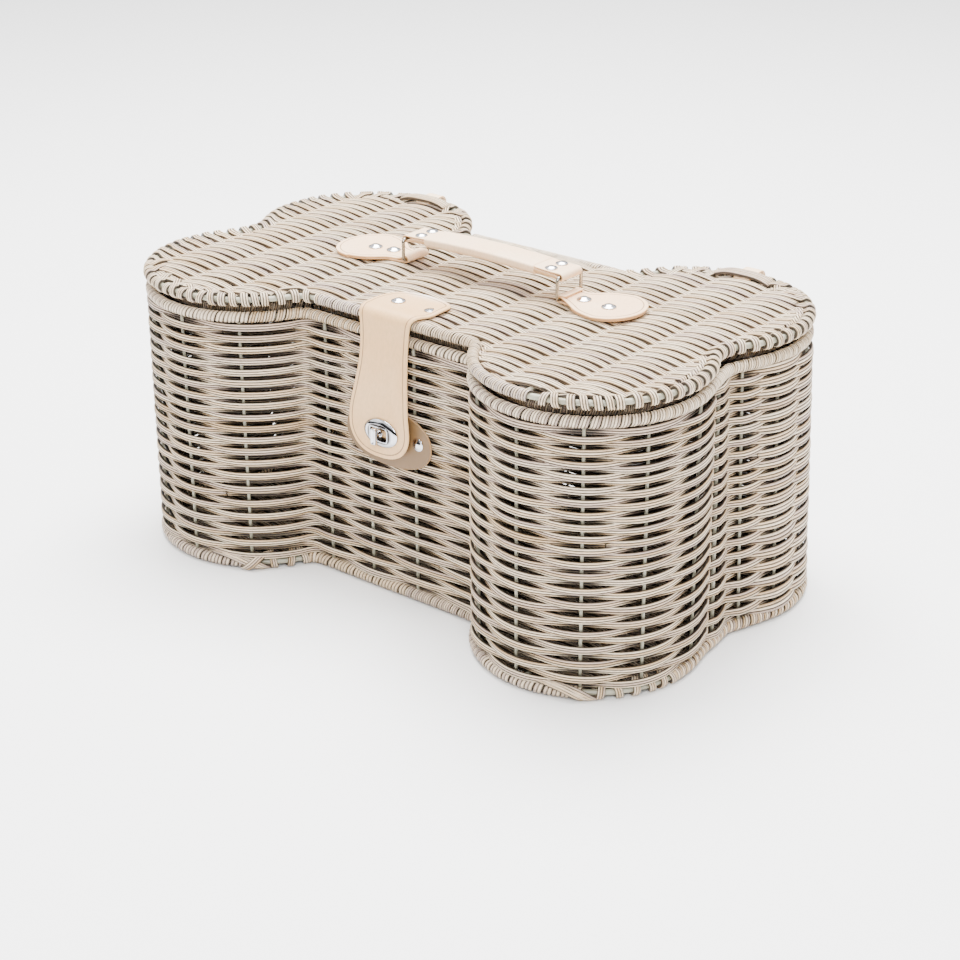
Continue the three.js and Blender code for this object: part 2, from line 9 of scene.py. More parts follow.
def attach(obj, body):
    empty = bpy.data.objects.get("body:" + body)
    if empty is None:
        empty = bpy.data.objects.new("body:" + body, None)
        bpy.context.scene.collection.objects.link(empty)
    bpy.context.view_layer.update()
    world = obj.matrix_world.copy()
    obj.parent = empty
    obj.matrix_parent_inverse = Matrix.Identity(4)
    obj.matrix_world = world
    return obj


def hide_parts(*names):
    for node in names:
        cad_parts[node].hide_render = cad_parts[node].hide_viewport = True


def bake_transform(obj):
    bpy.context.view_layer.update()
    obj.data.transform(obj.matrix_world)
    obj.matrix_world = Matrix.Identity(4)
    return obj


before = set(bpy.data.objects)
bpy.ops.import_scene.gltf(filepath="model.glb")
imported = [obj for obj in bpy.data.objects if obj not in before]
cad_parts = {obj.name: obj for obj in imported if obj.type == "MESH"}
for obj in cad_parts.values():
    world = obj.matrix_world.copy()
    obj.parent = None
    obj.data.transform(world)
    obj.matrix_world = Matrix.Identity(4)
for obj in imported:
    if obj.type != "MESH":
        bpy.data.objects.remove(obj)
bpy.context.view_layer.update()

rng = np.random.default_rng(11)
SH = -1.985                      # mm, the row's origin is under the middle of its box


# ------------------------------------------------------------------ materials
def lin(r, g, b):
    f = lambda c: c / 12.92 if c <= 0.04045 else ((c + 0.055) / 1.055) ** 2.4
    return (f(r / 255), f(g / 255), f(b / 255), 1.0)


class Nodes:
    def __init__(self, name):
        self.mat = bpy.data.materials.new(name)
        self.mat.use_nodes = True
        self.t = self.mat.node_tree
        self.t.nodes.clear()
        self.out = self.t.nodes.new("ShaderNodeOutputMaterial")
        self.bsdf = self.t.nodes.new("ShaderNodeBsdfPrincipled")
        self.t.links.new(self.bsdf.outputs[0], self.out.inputs[0])

    def link(self, a, b):
        self.t.links.new(a, b)

    def put(self, socket, value):
        if isinstance(value, bpy.types.NodeSocket):
            self.t.links.new(value, socket)
        else:
            socket.default_value = value

    def attr(self, name):
        n = self.t.nodes.new("ShaderNodeAttribute")
        n.attribute_name = name
        return n.outputs["Fac"]

    def math(self, op, a, b=0.0, c=0.0, clamp=False):
        n = self.t.nodes.new("ShaderNodeMath")
        n.operation = op
        n.use_clamp = clamp
        for i, v in enumerate((a, b, c)):
            self.put(n.inputs[i], v)
        return n.outputs[0]

    def ramp(self, v, a, b, lo=0.0, hi=1.0):
        n = self.t.nodes.new("ShaderNodeMapRange")
        n.interpolation_type = "SMOOTHSTEP"
        self.put(n.inputs[0], v)
        for i, x in enumerate((a, b, lo, hi)):
            self.put(n.inputs[i + 1], x)
        return n.outputs[0]

    def mix(self, f, a, b, mode="MIX"):
        n = self.t.nodes.new("ShaderNodeMix")
        n.data_type = "RGBA"
        n.blend_type = mode
        self.put(n.inputs[0], f)
        self.put(n.inputs[6], a)
        self.put(n.inputs[7], b)
        return n.outputs[2]

    def steps(self, v, stops):
        """Colour that changes in steps with v."""
        n = self.t.nodes.new("ShaderNodeValToRGB")
        n.color_ramp.interpolation = "CONSTANT"
        el = n.color_ramp.elements
        el[0].position, el[0].color = stops[0]
        el[1].position, el[1].color = stops[1]
        for p, c in stops[2:]:
            el.new(p).color = c
        self.put(n.inputs[0], v)
        return n.outputs[0]

    def coord(self):
        return self.t.nodes.new("ShaderNodeTexCoord").outputs["Object"]

    def scaled(self, v, s):
        n = self.t.nodes.new("ShaderNodeMapping")
        self.put(n.inputs[0], v)
        n.inputs["Scale"].default_value = s
        return n.outputs[0]

    def combine(self, x, y, z):
        n = self.t.nodes.new("ShaderNodeCombineXYZ")
        for i, v in enumerate((x, y, z)):
            self.put(n.inputs[i], v)
        return n.outputs[0]

    def noise(self, v, scale, detail=2.0, rough=0.5):
        n = self.t.nodes.new("ShaderNodeTexNoise")
        self.put(n.inputs["Vector"], v)
        n.inputs["Scale"].default_value = scale
        n.inputs["Detail"].default_value = detail
        n.inputs["Roughness"].default_value = rough
        return n.outputs["Fac"]

    def white(self, v):
        n = self.t.nodes.new("ShaderNodeTexWhiteNoise")
        n.noise_dimensions = "3D"
        self.put(n.inputs["Vector"], v)
        return n.outputs["Value"]

    def bump(self, h, strength, dist, prev=None):
        n = self.t.nodes.new("ShaderNodeBump")
        n.inputs["Strength"].default_value = strength
        n.inputs["Distance"].default_value = dist
        self.put(n.inputs["Height"], h)
        if prev is not None:
            self.put(n.inputs["Normal"], prev)
        return n.outputs[0]

    def finish(self, color, rough, metal=0.0, normal=None, spec=0.5, coat=0.0, coat_rough=0.3):
        b = self.bsdf.inputs
        self.put(b["Base Color"], color)
        self.put(b["Roughness"], rough)
        self.put(b["Metallic"], metal)
        b["Specular IOR Level"].default_value = spec
        b["Coat Weight"].default_value = coat
        b["Coat Roughness"].default_value = coat_rough
        if normal is not None:
            self.put(b["Normal"], normal)
        return self.mat


def strand_material(name, pale, cream, tan, cool, groove, shade_tint, line_depth=0.8, ridges=3.0, shade_grey=0.0, line_width=0.40):
    """Ridged plastic strand: across runs 0..1 over the strand, tone is one number per strand,
    shade is painted shade: 1 on the outside of the weave and 0 deep between the strands, where the colour is greyed and
    darkened."""
    m = Nodes(name)
    across, tone, shade = m.attr("across"), m.attr("tone"), m.attr("shade")
    k = m.math("MULTIPLY", across, ridges)
    idx = m.math("FLOOR", k)
    fr = m.math("FRACT", k)
    edge = m.math("MINIMUM", fr, m.math("SUBTRACT", 1.0, fr))
    line = m.ramp(edge, 0.03, line_width, 1.0, 0.0)
    rnd = m.white(m.combine(idx, m.math("MULTIPLY", tone, 91.7), 0.5))
    col = m.steps(rnd, [(0.0, pale), (0.42, cream), (0.64, tan), (0.82, cool)])
    slow = m.noise(m.coord(), 24.0, 2.0)
    col = m.mix(m.ramp(slow, 0.35, 0.75, 0.0, 0.35), col, cream)
    whole = m.white(m.combine(m.math("MULTIPLY", tone, 17.3), 3.5, 1.5))
    col = m.mix(m.ramp(whole, 0.55, 1.0, 0.0, 0.30), col, cool)
    fine = m.noise(m.coord(), 420.0, 2.0)
    # dark lines between the cords: partly the strand's own darker rib colour, partly painted shade in the grooves
    col = m.mix(m.math("MULTIPLY", line, line_depth), col, groove)
    col = m.mix(m.ramp(fine, 0.38, 0.75, 0.0, 0.16), col, groove)
    # painted shade: where the shade attribute is low the colour is greyed, then darkened towards a dark tint
    col = m.mix(m.ramp(shade, 0.2, 0.9, shade_grey, 0.0), col, lin(170, 160, 148))
    dark = m.mix(shade, shade_tint, (1.0, 1.0, 1.0, 1.0))
    col = m.mix(1.0, col, dark, "MULTIPLY")
    h = m.math("SUBTRACT", 1.0, line)
    nrm = m.bump(h, 0.8, 0.0007)
    nrm = m.bump(fine, 0.14, 0.0003, nrm)
    return m.finish(col, m.ramp(slow, 0.3, 0.7, 0.32, 0.46), normal=nrm, spec=0.5)


# dark tint that the painted shade on the strands darkens towards
SHADE_TINT = (0.026, 0.018, 0.012, 1.0)
STRAND = strand_material("rattan_strand", lin(255, 234, 203), lin(244, 212, 171), lin(213, 179, 135), lin(210, 185, 168), lin(56, 43, 31), SHADE_TINT, 1.0)
STRAND_LID = strand_material("rattan_lid_strand", lin(255, 233, 200), lin(250, 220, 180), lin(220, 188, 144), lin(219, 194, 177), lin(66, 55, 46), SHADE_TINT, 1.0, shade_grey=0.2)
WRAP = strand_material("rattan_wrap", lin(246, 224, 195), lin(228, 200, 162), lin(202, 168, 123), lin(198, 175, 159), lin(62, 50, 39), SHADE_TINT, 0.85, line_width=0.30)
WRAP_LID = strand_material("rattan_lid_wrap", lin(255, 234, 206), lin(242, 216, 182), lin(214, 185, 146), lin(212, 191, 178), lin(58, 48, 40), SHADE_TINT, 1.0, shade_grey=0.2, line_width=0.34)


def wire_material():
    m = Nodes("coated_wire")
    c = m.coord()
    n = m.noise(c, 60.0, 3.0)
    col = m.mix(m.ramp(n, 0.35, 0.7), lin(152, 147, 126), lin(174, 170, 150))
    return m.finish(col, m.ramp(n, 0.3, 0.7, 0.34, 0.5), metal=0.0, normal=m.bump(m.noise(c, 900.0, 2.0), 0.08, 0.0002), spec=0.5)


def leather_material(name, base, warm, edge_col, line_col, crease=0.85):
    """The edge attribute is the distance to the cut edge in mm: painted edge, creased line at 3.9 mm."""
    m = Nodes(name)
    c = m.coord()
    d, pale_band = m.attr("edge"), m.attr("pale_band")
    cloud = m.noise(c, 22.0, 3.0)
    col = m.mix(m.ramp(cloud, 0.3, 0.75), base, warm)
    grain = m.t.nodes.new("ShaderNodeTexVoronoi")
    grain.feature = "DISTANCE_TO_EDGE"
    grain.inputs["Scale"].default_value = 1500.0
    m.put(grain.inputs["Vector"], c)
    pores = grain.outputs["Distance"]
    fibre = m.noise(m.scaled(c, (1.0, 1.0, 0.4)), 520.0, 3.0)
    col = m.mix(m.ramp(fibre, 0.35, 0.7, 0.0, 0.10), col, line_col)
    # paler band where the strap bends over the rims
    col = m.mix(m.math("MULTIPLY", pale_band, 0.75), col, lin(252, 246, 238))
    groove = m.math("SUBTRACT", 1.0, m.ramp(m.math("ABSOLUTE", m.math("SUBTRACT", d, 3.9)), 0.15, 0.75), clamp=True)
    wobble = m.noise(c, 160.0, 2.0)
    near = m.math("ADD", d, m.math("MULTIPLY", m.math("SUBTRACT", wobble, 0.5), 0.5))
    painted = m.ramp(near, 0.25, 0.6, 1.0, 0.0)
    col = m.mix(m.math("MULTIPLY", groove, crease), col, line_col)
    col = m.mix(m.math("MULTIPLY", painted, 0.75), col, edge_col)
    nrm = m.bump(m.ramp(pores, 0.0, 0.2), 0.10, 0.00012)
    nrm = m.bump(m.noise(c, 260.0, 3.0), 0.12, 0.0003, nrm)
    rough = m.mix(painted, (0.46, 0.46, 0.46, 1), (0.34, 0.34, 0.34, 1))
    return m.finish(col, rough, normal=nrm, spec=0.42)


def chrome_material(name="chrome", a=(214, 214, 217), b=(192, 192, 197), r0=0.05, r1=0.14, shaded_grooves=False):
    m = Nodes(name)
    c = m.coord()
    n = m.noise(c, 240.0, 3.0)
    col = m.mix(n, lin(*a), lin(*b))
    if shaded_grooves:
        # painted shade and painted dark reflection: the chrome is darkened where the groove attribute is high
        col = m.mix(m.attr("groove"), col, lin(46, 41, 36))
    return m.finish(col, m.ramp(n, 0.35, 0.7, r0, r1), metal=1.0, normal=m.bump(m.noise(c, 900.0, 2.0), 0.03, 0.0001))


WIRE = wire_material()
HIDE = leather_material("leather", lin(251, 210, 166), lin(254, 221, 182), lin(208, 154, 94), lin(122, 80, 46))
HIDE_PLAIN = leather_material("leather_plain", lin(253, 216, 176), lin(255, 226, 190), lin(204, 152, 94), lin(122, 80, 46), 0.0)
HIDE_STRAP = leather_material("leather_strap", lin(224, 177, 121), lin(229, 186, 134), lin(238, 198, 146), lin(104, 68, 40))
# the patch's dark colour is partly its own darker leather and partly painted shadow of the strap that hangs over it
HIDE_PATCH = leather_material("leather_patch", lin(110, 84, 52), lin(119, 92, 59), lin(170, 134, 92), lin(104, 68, 40), 0.0)
CHROME = chrome_material()
CHROME_LOCK = chrome_material("lock_chrome", shaded_grooves=True)
STEEL = chrome_material("steel_wire", (172, 166, 156), (140, 134, 124), 0.16, 0.3)


# ------------------------------------------------------------------ mesh tools
def build(name, verts, quads, tris, mat, attrs=None, smooth=True, weld=0.0):
    """verts in mm before the shift; quads and tris are index arrays."""
    v = np.asarray(verts, float).reshape(-1, 3).copy()
    v[:, 1] += SH
    v *= 0.001
    quads = np.asarray(quads, np.int32).reshape(-1, 4)
    tris = np.asarray(tris, np.int32).reshape(-1, 3)
    me = bpy.data.meshes.new(name)
    me.vertices.add(len(v))
    me.vertices.foreach_set("co", v.astype(np.float32).ravel())
    loops = np.concatenate([quads.ravel(), tris.ravel()]).astype(np.int32)
    me.loops.add(len(loops))
    me.loops.foreach_set("vertex_index", loops)
    me.polygons.add(len(quads) + len(tris))
    start = np.concatenate([np.arange(len(quads)) * 4, len(quads) * 4 + np.arange(len(tris)) * 3]).astype(np.int32)
    me.polygons.foreach_set("loop_start", start)
    me.update(calc_edges=True)
    for k, a in (attrs or {}).items():
        at = me.attributes.new(k, "FLOAT", "POINT")
        at.data.foreach_set("value", np.asarray(a, np.float32).ravel())
    if weld:
        bm = bmesh.new()
        bm.from_mesh(me)
        bmesh.ops.remove_doubles(bm, verts=bm.verts, dist=weld)
        bmesh.ops.dissolve_degenerate(bm, edges=bm.edges, dist=1e-7)
        bmesh.ops.recalc_face_normals(bm, faces=bm.faces)
        bm.to_mesh(me)
        bm.free()
    me.validate()
    me.polygons.foreach_set("use_smooth", np.full(len(me.polygons), smooth))
    me.update()
    me.materials.append(mat)
    o = bpy.data.objects.new(name, me)
    bpy.context.scene.collection.objects.link(o)
    return o


def ridged(ridges=3, per=4, depth=0.6, power=4.0):
    """Section of a strand like a few round cords side by side: across from -0.5 to 0.5, height, and across 0..1."""
    n = ridges * per
    a = np.linspace(-0.5, 0.5, n + 1)
    env = 0.5 * np.sqrt(np.clip(1 - np.abs(2 * a) ** power, 0, 1))
    t = np.mod((a + 0.5) * ridges + 1e-9, 1.0)
    r = np.sqrt(np.clip(1 - (2 * t - 1) ** 2, 0, 1))
    h = env * (1 - depth * (1 - r))
    h[0] = h[-1] = 0
    sec_a = np.concatenate([a, a[-2:0:-1]])
    sec_h = np.concatenate([-h, h[-2:0:-1]])
    return sec_a, sec_h, sec_a + 0.5


def round_section(n=10):
    t = np.arange(n) * 2 * np.pi / n
    return 0.5 * np.cos(t), 0.5 * np.sin(t), 0.5 + 0.5 * np.cos(t)


def step(a, b, x):
    t = np.clip((x - a) / (b - a), 0, 1)
    return t * t * (3 - 2 * t)


class Batch:
    """Collects swept strands into one mesh."""

    def __init__(self):
        self.v, self.q, self.t, self.across, self.tone, self.shade, self.n = [], [], [], [], [], [], 0

    def sweep(self, path, face, width, thick, section, tone, closed=False, front=1.0, back=1.0, edge=(0.5, 0.3)):
        """front and back: painted light and shade, how light the two sides are along the path. edge: painted shade, how
        dark its two edges are.
        """
        p = np.asarray(path, float)
        n = len(p)
        if closed:
            tan = np.roll(p, -1, 0) - np.roll(p, 1, 0)
        else:
            tan = np.gradient(p, axis=0)
        tan /= np.linalg.norm(tan, axis=1)[:, None] + 1e-12
        f = np.broadcast_to(np.asarray(face, float), p.shape).copy()
        f -= (f * tan).sum(1)[:, None] * tan
        f /= np.linalg.norm(f, axis=1)[:, None] + 1e-12
        b = np.cross(tan, f)
        sa, sh, sv = section
        m = len(sa)
        w = np.broadcast_to(np.asarray(width, float), (n,))
        t = np.broadcast_to(np.asarray(thick, float), (n,))
        v = p[:, None, :] + b[:, None, :] * (sa[None, :, None] * w[:, None, None]) + f[:, None, :] * (sh[None, :, None] * t[:, None, None])
        g = 0.5 + 0.5 * np.clip(sh / 0.2, -1, 1)
        # painted shade: the strand darkens towards both edges, further in on the edge at negative across
        e = 1 - np.where(sa < 0, edge[0] * np.abs(2 * sa) ** 2.2, edge[1] * np.abs(2 * sa) ** 4)
        fr = np.broadcast_to(np.asarray(front, float), (n,))
        bk = np.broadcast_to(np.asarray(back, float), (n,))
        shade = (fr[:, None] * g[None, :] + bk[:, None] * (1 - g[None, :])) * e[None, :]
        i = np.arange(n if closed else n - 1)
        j = np.arange(m)
        a = (i[:, None] * m + j[None, :])
        c = (((i[:, None] + 1) % n) * m + j[None, :])
        a2 = (i[:, None] * m + (j[None, :] + 1) % m)
        c2 = (((i[:, None] + 1) % n) * m + (j[None, :] + 1) % m)
        q = np.stack([a, c, c2, a2], -1).reshape(-1, 4)
        self.q.append(q + self.n)
        base = self.n
        self.v.append(v.reshape(-1, 3))
        self.across.append(np.tile(sv, n))
        self.shade.append(shade.ravel())
        cnt = n * m
        if not closed:
            ends = np.array([p[0], p[-1]])
            self.v.append(ends)
            self.across.append(np.array([0.5, 0.5]))
            # painted shade: the end caps are darkened
            self.shade.append(np.array([0.35, 0.35]))
            k = np.arange(m)
            t0 = np.stack([np.full(m, cnt), k, (k + 1) % m], -1)
            last = (n - 1) * m
            t1 = np.stack([np.full(m, cnt + 1), last + (k + 1) % m, last + k], -1)
            self.t.append(np.concatenate([t0, t1]) + base)
            cnt += 2
        self.tone.append(np.full(cnt, float(tone)))
        self.n += cnt

    def make(self, name, mat, flare=False):
        """flare: the body's ends swell out a little towards the floor, and its right end has a sharper and shallower hollow."""
        if flare:
            for v in self.v:
                x, y, low = v[:, 0].copy(), v[:, 1].copy(), np.clip(1 - v[:, 2] / Z_TOP, 0, 1)
                right = step(120, 285, x) * step(-45, 0, y) * low
                v[:, 0] += 6.0 * right - 3.0 * step(120, 285, -x) * low
                v[:, 0] += np.interp(y, [-45, -36, -26.5, -20, -15, -8, 0, 3, 6.5, 10, 14, 18, 24, 30, 42],
                                     [0, 0.3, 1.6, 4.0, 5.4, 6.0, 5.0, 4.3, 3.1, 3.7, 4.0, 3.7, 2.5, 1.4, 0]) * step(215, 245, x)
                v[:, 1] += 6.0 * right * step(-10, 30, y)
        tr = np.concatenate(self.t) if self.t else np.zeros((0, 3), int)
        return build(name, np.concatenate(self.v), np.concatenate(self.q), tr, mat,
                     {"across": np.concatenate(self.across), "tone": np.concatenate(self.tone), "shade": np.concatenate(self.shade)})


def catmull(pts, per=6, closed=False):
    """Smooth curve through points of any dimension."""
    p = np.asarray(pts, float)
    n = len(p)
    out = []
    rng_i = range(n if closed else n - 1)
    for i in rng_i:
        if closed:
            a, b, c, d = p[(i - 1) % n], p[i], p[(i + 1) % n], p[(i + 2) % n]
        else:
            a, b, c, d = p[max(i - 1, 0)], p[i], p[i + 1], p[min(i + 2, n - 1)]
        for k in range(per):
            t = k / per
            out.append(0.5 * ((2 * b) + (c - a) * t + (2 * a - 5 * b + 4 * c - d) * t * t + (3 * b - a - 3 * c + d) * t ** 3))
    if not closed:
        out.append(p[-1])
    return np.array(out)


# ------------------------------------------------------------------ outline
LOBE_X, LOBE_Y, LOBE_R, WAIST_Y, NF = 185.5, 72.6, 94.5, 105.4, 40.0
XE = LOBE_X + math.sqrt((LOBE_R + NF) ** 2 - LOBE_Y ** 2)
A2 = math.atan2(-LOBE_Y, XE - LOBE_X)


def fillet(r):
    """Where the waist ends, the angle at which the lobe begins and the four lengths, for a fillet r beside the waist."""
    x1 = LOBE_X - math.sqrt((LOBE_R + r) ** 2 - (LOBE_Y - WAIST_Y - r) ** 2)
    a1 = math.atan2(LOBE_Y - WAIST_Y - r, LOBE_X - x1)
    return x1, a1, [x1, r * (a1 + math.pi / 2), LOBE_R * (a1 + math.pi - A2), NF * (-A2)]


# lengths are counted along the model's outline; the weave goes deeper into the four hollows beside the waist
QL = sum(fillet(54.0)[2])
PER = 4 * QL
WF = 17.0
X1, A1, LEN = fillet(WF)
EXTRA = sum(LEN) - QL
HOLLOW = 93.4


def quarter(s, d=0.0):
    s = np.asarray(s, float)
    s = s + EXTRA * np.clip((s - 60) / 65, 0, 1)
    d = np.broadcast_to(np.asarray(d, float), s.shape)
    x, y = s.copy(), WAIST_Y + d
    s1 = s - LEN[0]
    a = -math.pi / 2 + s1 / WF
    r = WF - d
    k = s1 > 0
    x = np.where(k, X1 + r * np.cos(a), x)
    y = np.where(k, WAIST_Y + WF + r * np.sin(a), y)
    s2 = s1 - LEN[1]
    a = A1 + math.pi - s2 / LOBE_R
    r = LOBE_R + d
    k = s2 > 0
    x = np.where(k, LOBE_X + r * np.cos(a), x)
    y = np.where(k, LOBE_Y + r * np.sin(a), y)
    s3 = s2 - LEN[2]
    a = A2 + math.pi + s3 / NF
    r = NF - d
    k = s3 > 0
    x = np.where(k, XE + r * np.cos(a), x)
    y = np.where(k, r * np.sin(a), y)
    return x, y


def ring(S, d=0.0):
    """Point on the outline at length S from the middle of the back waist, clockwise from above, d outwards."""
    S = np.mod(np.asarray(S, float), PER)
    k = np.floor(S / QL).astype(int) % 4
    q = np.where(k == 0, S, np.where(k == 1, 2 * QL - S, np.where(k == 2, S - 2 * QL, PER - S)))
    x, y = quarter(np.clip(q, 0, QL), d)
    x = np.where((k == 2) | (k == 3), -x, x)
    y = np.where((k == 1) | (k == 2), -y, y)
    return np.stack([x, y], -1)


def ring_normal(S):
    e = 0.05
    t = ring(np.asarray(S) + e) - ring(np.asarray(S) - e)
    t /= np.linalg.norm(t, axis=-1)[..., None]
    return np.stack([-t[..., 1], t[..., 0]], -1), t


Z_BASE, Z_TOP, Z_LID = 6.0, 239.3, 254.9
UP = [HOLLOW, 148, 204, 259.5, 310, 359.5, 405.5]
UP_B = [HOLLOW, 148, 209.5, 261.5, 310, 359.5, 405.5]
UP_R = [HOLLOW, 148, 209.5, 261.5, 317, 372, 411]
stakes = sorted([s for s in UP_R] + [PER - s for s in UP_B] + [2 * QL - s for s in UP[:-2] + [368.4, 415.4]] + [2 * QL + s for s in [72.5] + UP[1:]]
                + [2 * QL + 24, 2 * QL - 27] + [30.5, PER - 30.5])
stakes = np.array(stakes)
NS = len(stakes)
LID_WIRES = [-228, -175, -130, -81, -27, 36, 87, 134.5, 188, 232]
BASE_WIRES = [-232, -186, -135, -84, -29, 29, 84, 135, 186, 232]
AMP = 3.4

CORD = ridged(3, 5, 0.6)
CORD_L = ridged(3, 4, 0.75)
CORD_LID = ridged(3, 5, 0.78)


def winding_section(ridges, depth, power):
    """A strand wound tight: rounder over its width, its ridges counted in thirds like the others."""
    a, h, v = ridged(ridges, 12 // ridges, depth, power)
    return a, h, v * ridges / 3.0


WOUND = [winding_section(2, 0.48, 2.8), winding_section(3, 0.55, 2.6), winding_section(2, 0.52, 2.8), winding_section(3, 0.6, 2.8)]
ROUND8, ROUND12 = round_section(8), round_section(14)


def ring_path(S, d, z):
    p = ring(S, d)
    return np.column_stack([p, np.broadcast_to(z, (len(p),))])


# ------------------------------------------------------------------ wire frames
def wire_frame(name, z_list, cross, cross_z, verticals, flare):
    b = Batch()
    S = np.linspace(0, PER, 300, endpoint=False)
    n, _ = ring_normal(S)
    for z in z_list:
        b.sweep(ring_path(S, 0.0, z), np.column_stack([n, np.zeros(len(n))]), 5.0, 5.0, ROUND12, 0.5, True)
    for s in verticals:
        x, y = ring(s)
        z = np.linspace(Z_BASE, Z_TOP, 5)
        b.sweep(np.column_stack([np.full(5, x), np.full(5, y), z]), (1, 0, 0), 2.9, 2.9, ROUND12, 0.5)
    for x in cross:
        h = half_depth(x, 0.0)
        y = np.linspace(-h, h, 5)
        b.sweep(np.column_stack([np.full(5, float(x)), y, np.full(5, cross_z)]), (0, 0, 1), 3.4, 3.4, ROUND12, 0.5)
    return b.make(name, WIRE, flare)


SD = np.linspace(0, PER, 6000, endpoint=False)


def half_depth(x, d):
    p = ring(SD, d)
    k = np.abs(p[:, 0] - x) < 1.0
    return float(np.max(p[k, 1]))


body_frame = wire_frame("body_wires", [Z_BASE, Z_TOP], BASE_WIRES, Z_BASE, stakes, True)
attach(body_frame, "basket"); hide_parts("body_frame")
lid_frame = wire_frame("lid_wires", [Z_LID], LID_WIRES, Z_LID, [], False)
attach(lid_frame, "lid"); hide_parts("lid_frame")


# ------------------------------------------------------------------ woven wall
# heights of the rows, closer together towards the top
ROW_Z = [13.4, 19.8, 26.2, 33.0, 39.6, 46.3, 53.0, 59.7, 66.3, 72.8, 79.2, 85.6, 91.9, 98.0, 104.1, 109.9, 115.5, 120.9, 126.4,
         131.8, 137.2, 142.4, 147.6, 152.8, 158.0, 163.3, 168.7, 174.0, 179.3, 184.6, 189.9, 195.0, 200.2, 205.3, 210.6, 215.9, 221.3, 226.5, 231.2]


def lit(f, low=0.15, a=-0.92, b=-0.25):
    """Painted light and shade: how light a strand is made, f is 1 where it is in front of an upright and -1 where it is
    behind one.
    """
    return low + (1 - low) * step(a, b, f)


def wall_rows():
    S, ph = [], []
    for k in range(NS):
        s0, s1 = stakes[k], stakes[(k + 1) % NS] + (PER if k == NS - 1 else 0)
        bend = [a for a in (QL - 6.6, QL + 27.3, 2 * QL + HOLLOW + 1.0) if s0 < a < s1]
        per = 26 if bend else 11
        f = np.arange(per) / per
        S.append(s0 + (s1 - s0) * f)
        if bend:
            # in the hollows at the front left and at the right end the strands change sides right in the bend
            at = bend[0]
            lo, hi = min(9, 0.6 * (at - s0)), min(9, 0.6 * (s1 - at))
            f = np.interp(S[-1], [s0, at - lo, at, at + hi, s1], [0.0, 0.27, 0.5, 0.73, 1.0])
        ph.append(k + f)
    S, ph = np.concatenate(S), np.concatenate(ph)
    N = len(S)
    n, _ = ring_normal(S)
    n3 = np.column_stack([n, np.zeros(len(n))])
    base = ring(S)
    fold = sum(np.exp(-(((S - m0 + PER / 2) % PER - PER / 2) / 9.0) ** 2) for m0 in (HOLLOW, 2 * QL - HOLLOW, PER - HOLLOW))
    batches, per_piece = [], 5
    u = 2 * np.pi * S / PER
    shared = 0.0 * u
    for r, zr in enumerate(ROW_Z):
        if r % per_piece == 0:
            b = Batch()
            batches.append(b)
        sign = -1 if r % 2 else 1
        c = np.cos(np.pi * ph)
        amp = AMP * (1 + 0.04 * rng.standard_normal())
        # neighbouring rows wander together, so that they stay apart
        shared = 0.75 * shared + sum(rng.uniform(-0.22, 0.22) * np.sin(k * u + rng.uniform(0, 6.28)) for k in (2, 3, 5, 8, 13))
        own = sum(rng.uniform(0.02, 0.12) * np.sin(k * u + rng.uniform(0, 6.28)) for k in (3, 7, 12))
        kick = np.interp(S, np.concatenate([stakes, [stakes[0] + PER]]), np.append(rng.normal(0, 0.32, NS), 0.0), period=PER)
        z = zr + shared + own + kick
        d = sign * amp * np.sign(c) * np.abs(c) ** 0.9
        w = (6.1 + 0.6 * np.abs(c) ** 1.5) * (1 + 0.02 * rng.standard_normal())
        # the back is woven a little tighter
        far = np.maximum(step(0.0, 0.25, np.cos(u)), step(1150, 1185, S))
        w = w + (2.2 + 1.5 * (1 - step(80, 150, zr))) * far + 1.5 * fold * (sign * c > 0)
        path = np.column_stack([base + n * np.asarray(d)[:, None], z])
        # between two uprights a strand leans a little as it passes its neighbours
        face = n3 + np.array([0, 0, 1.0]) * (0.07 * rng.standard_normal() + 0.05)
        # painted shade: a strand is darkened where it passes behind an upright, its inner side facing into the basket
        # is darker still, and its lower edge darker than its upper
        front, back = lit(sign * c, 0.25, -0.95, -0.35), 0.2 * lit(-sign * c, 0.15)
        hidden = np.nonzero(sign * c < -0.4)[0]
        cuts = sorted(set(rng.choice(hidden, size=int(rng.integers(1, 4)))))
        if rng.random() < 0.3:
            cuts = sorted(set(cuts + [int(rng.integers(0, N))]))
        for q, i0 in enumerate(cuts):
            i1 = cuts[(q + 1) % len(cuts)]
            i1 = i1 + (N if i1 <= i0 else 0)
            idx = np.arange(i0, i1 + 1) % N
            if len(idx) < 4:
                continue
            P = path[idx].copy()
            P[0] += (P[1] - P[0]) * 0.12
            P[-1] += (P[-2] - P[-1]) * 0.12
            b.sweep(P, face[idx], w[idx], 3.4, CORD, rng.random(), front=front[idx], back=back[idx], edge=(0.74, 0.42))
    return batches


for i, b in enumerate(wall_rows()):
    o = b.make(f"wall_rows_{i + 1}", STRAND, True)
    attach(o, "basket"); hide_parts("woven_wall")


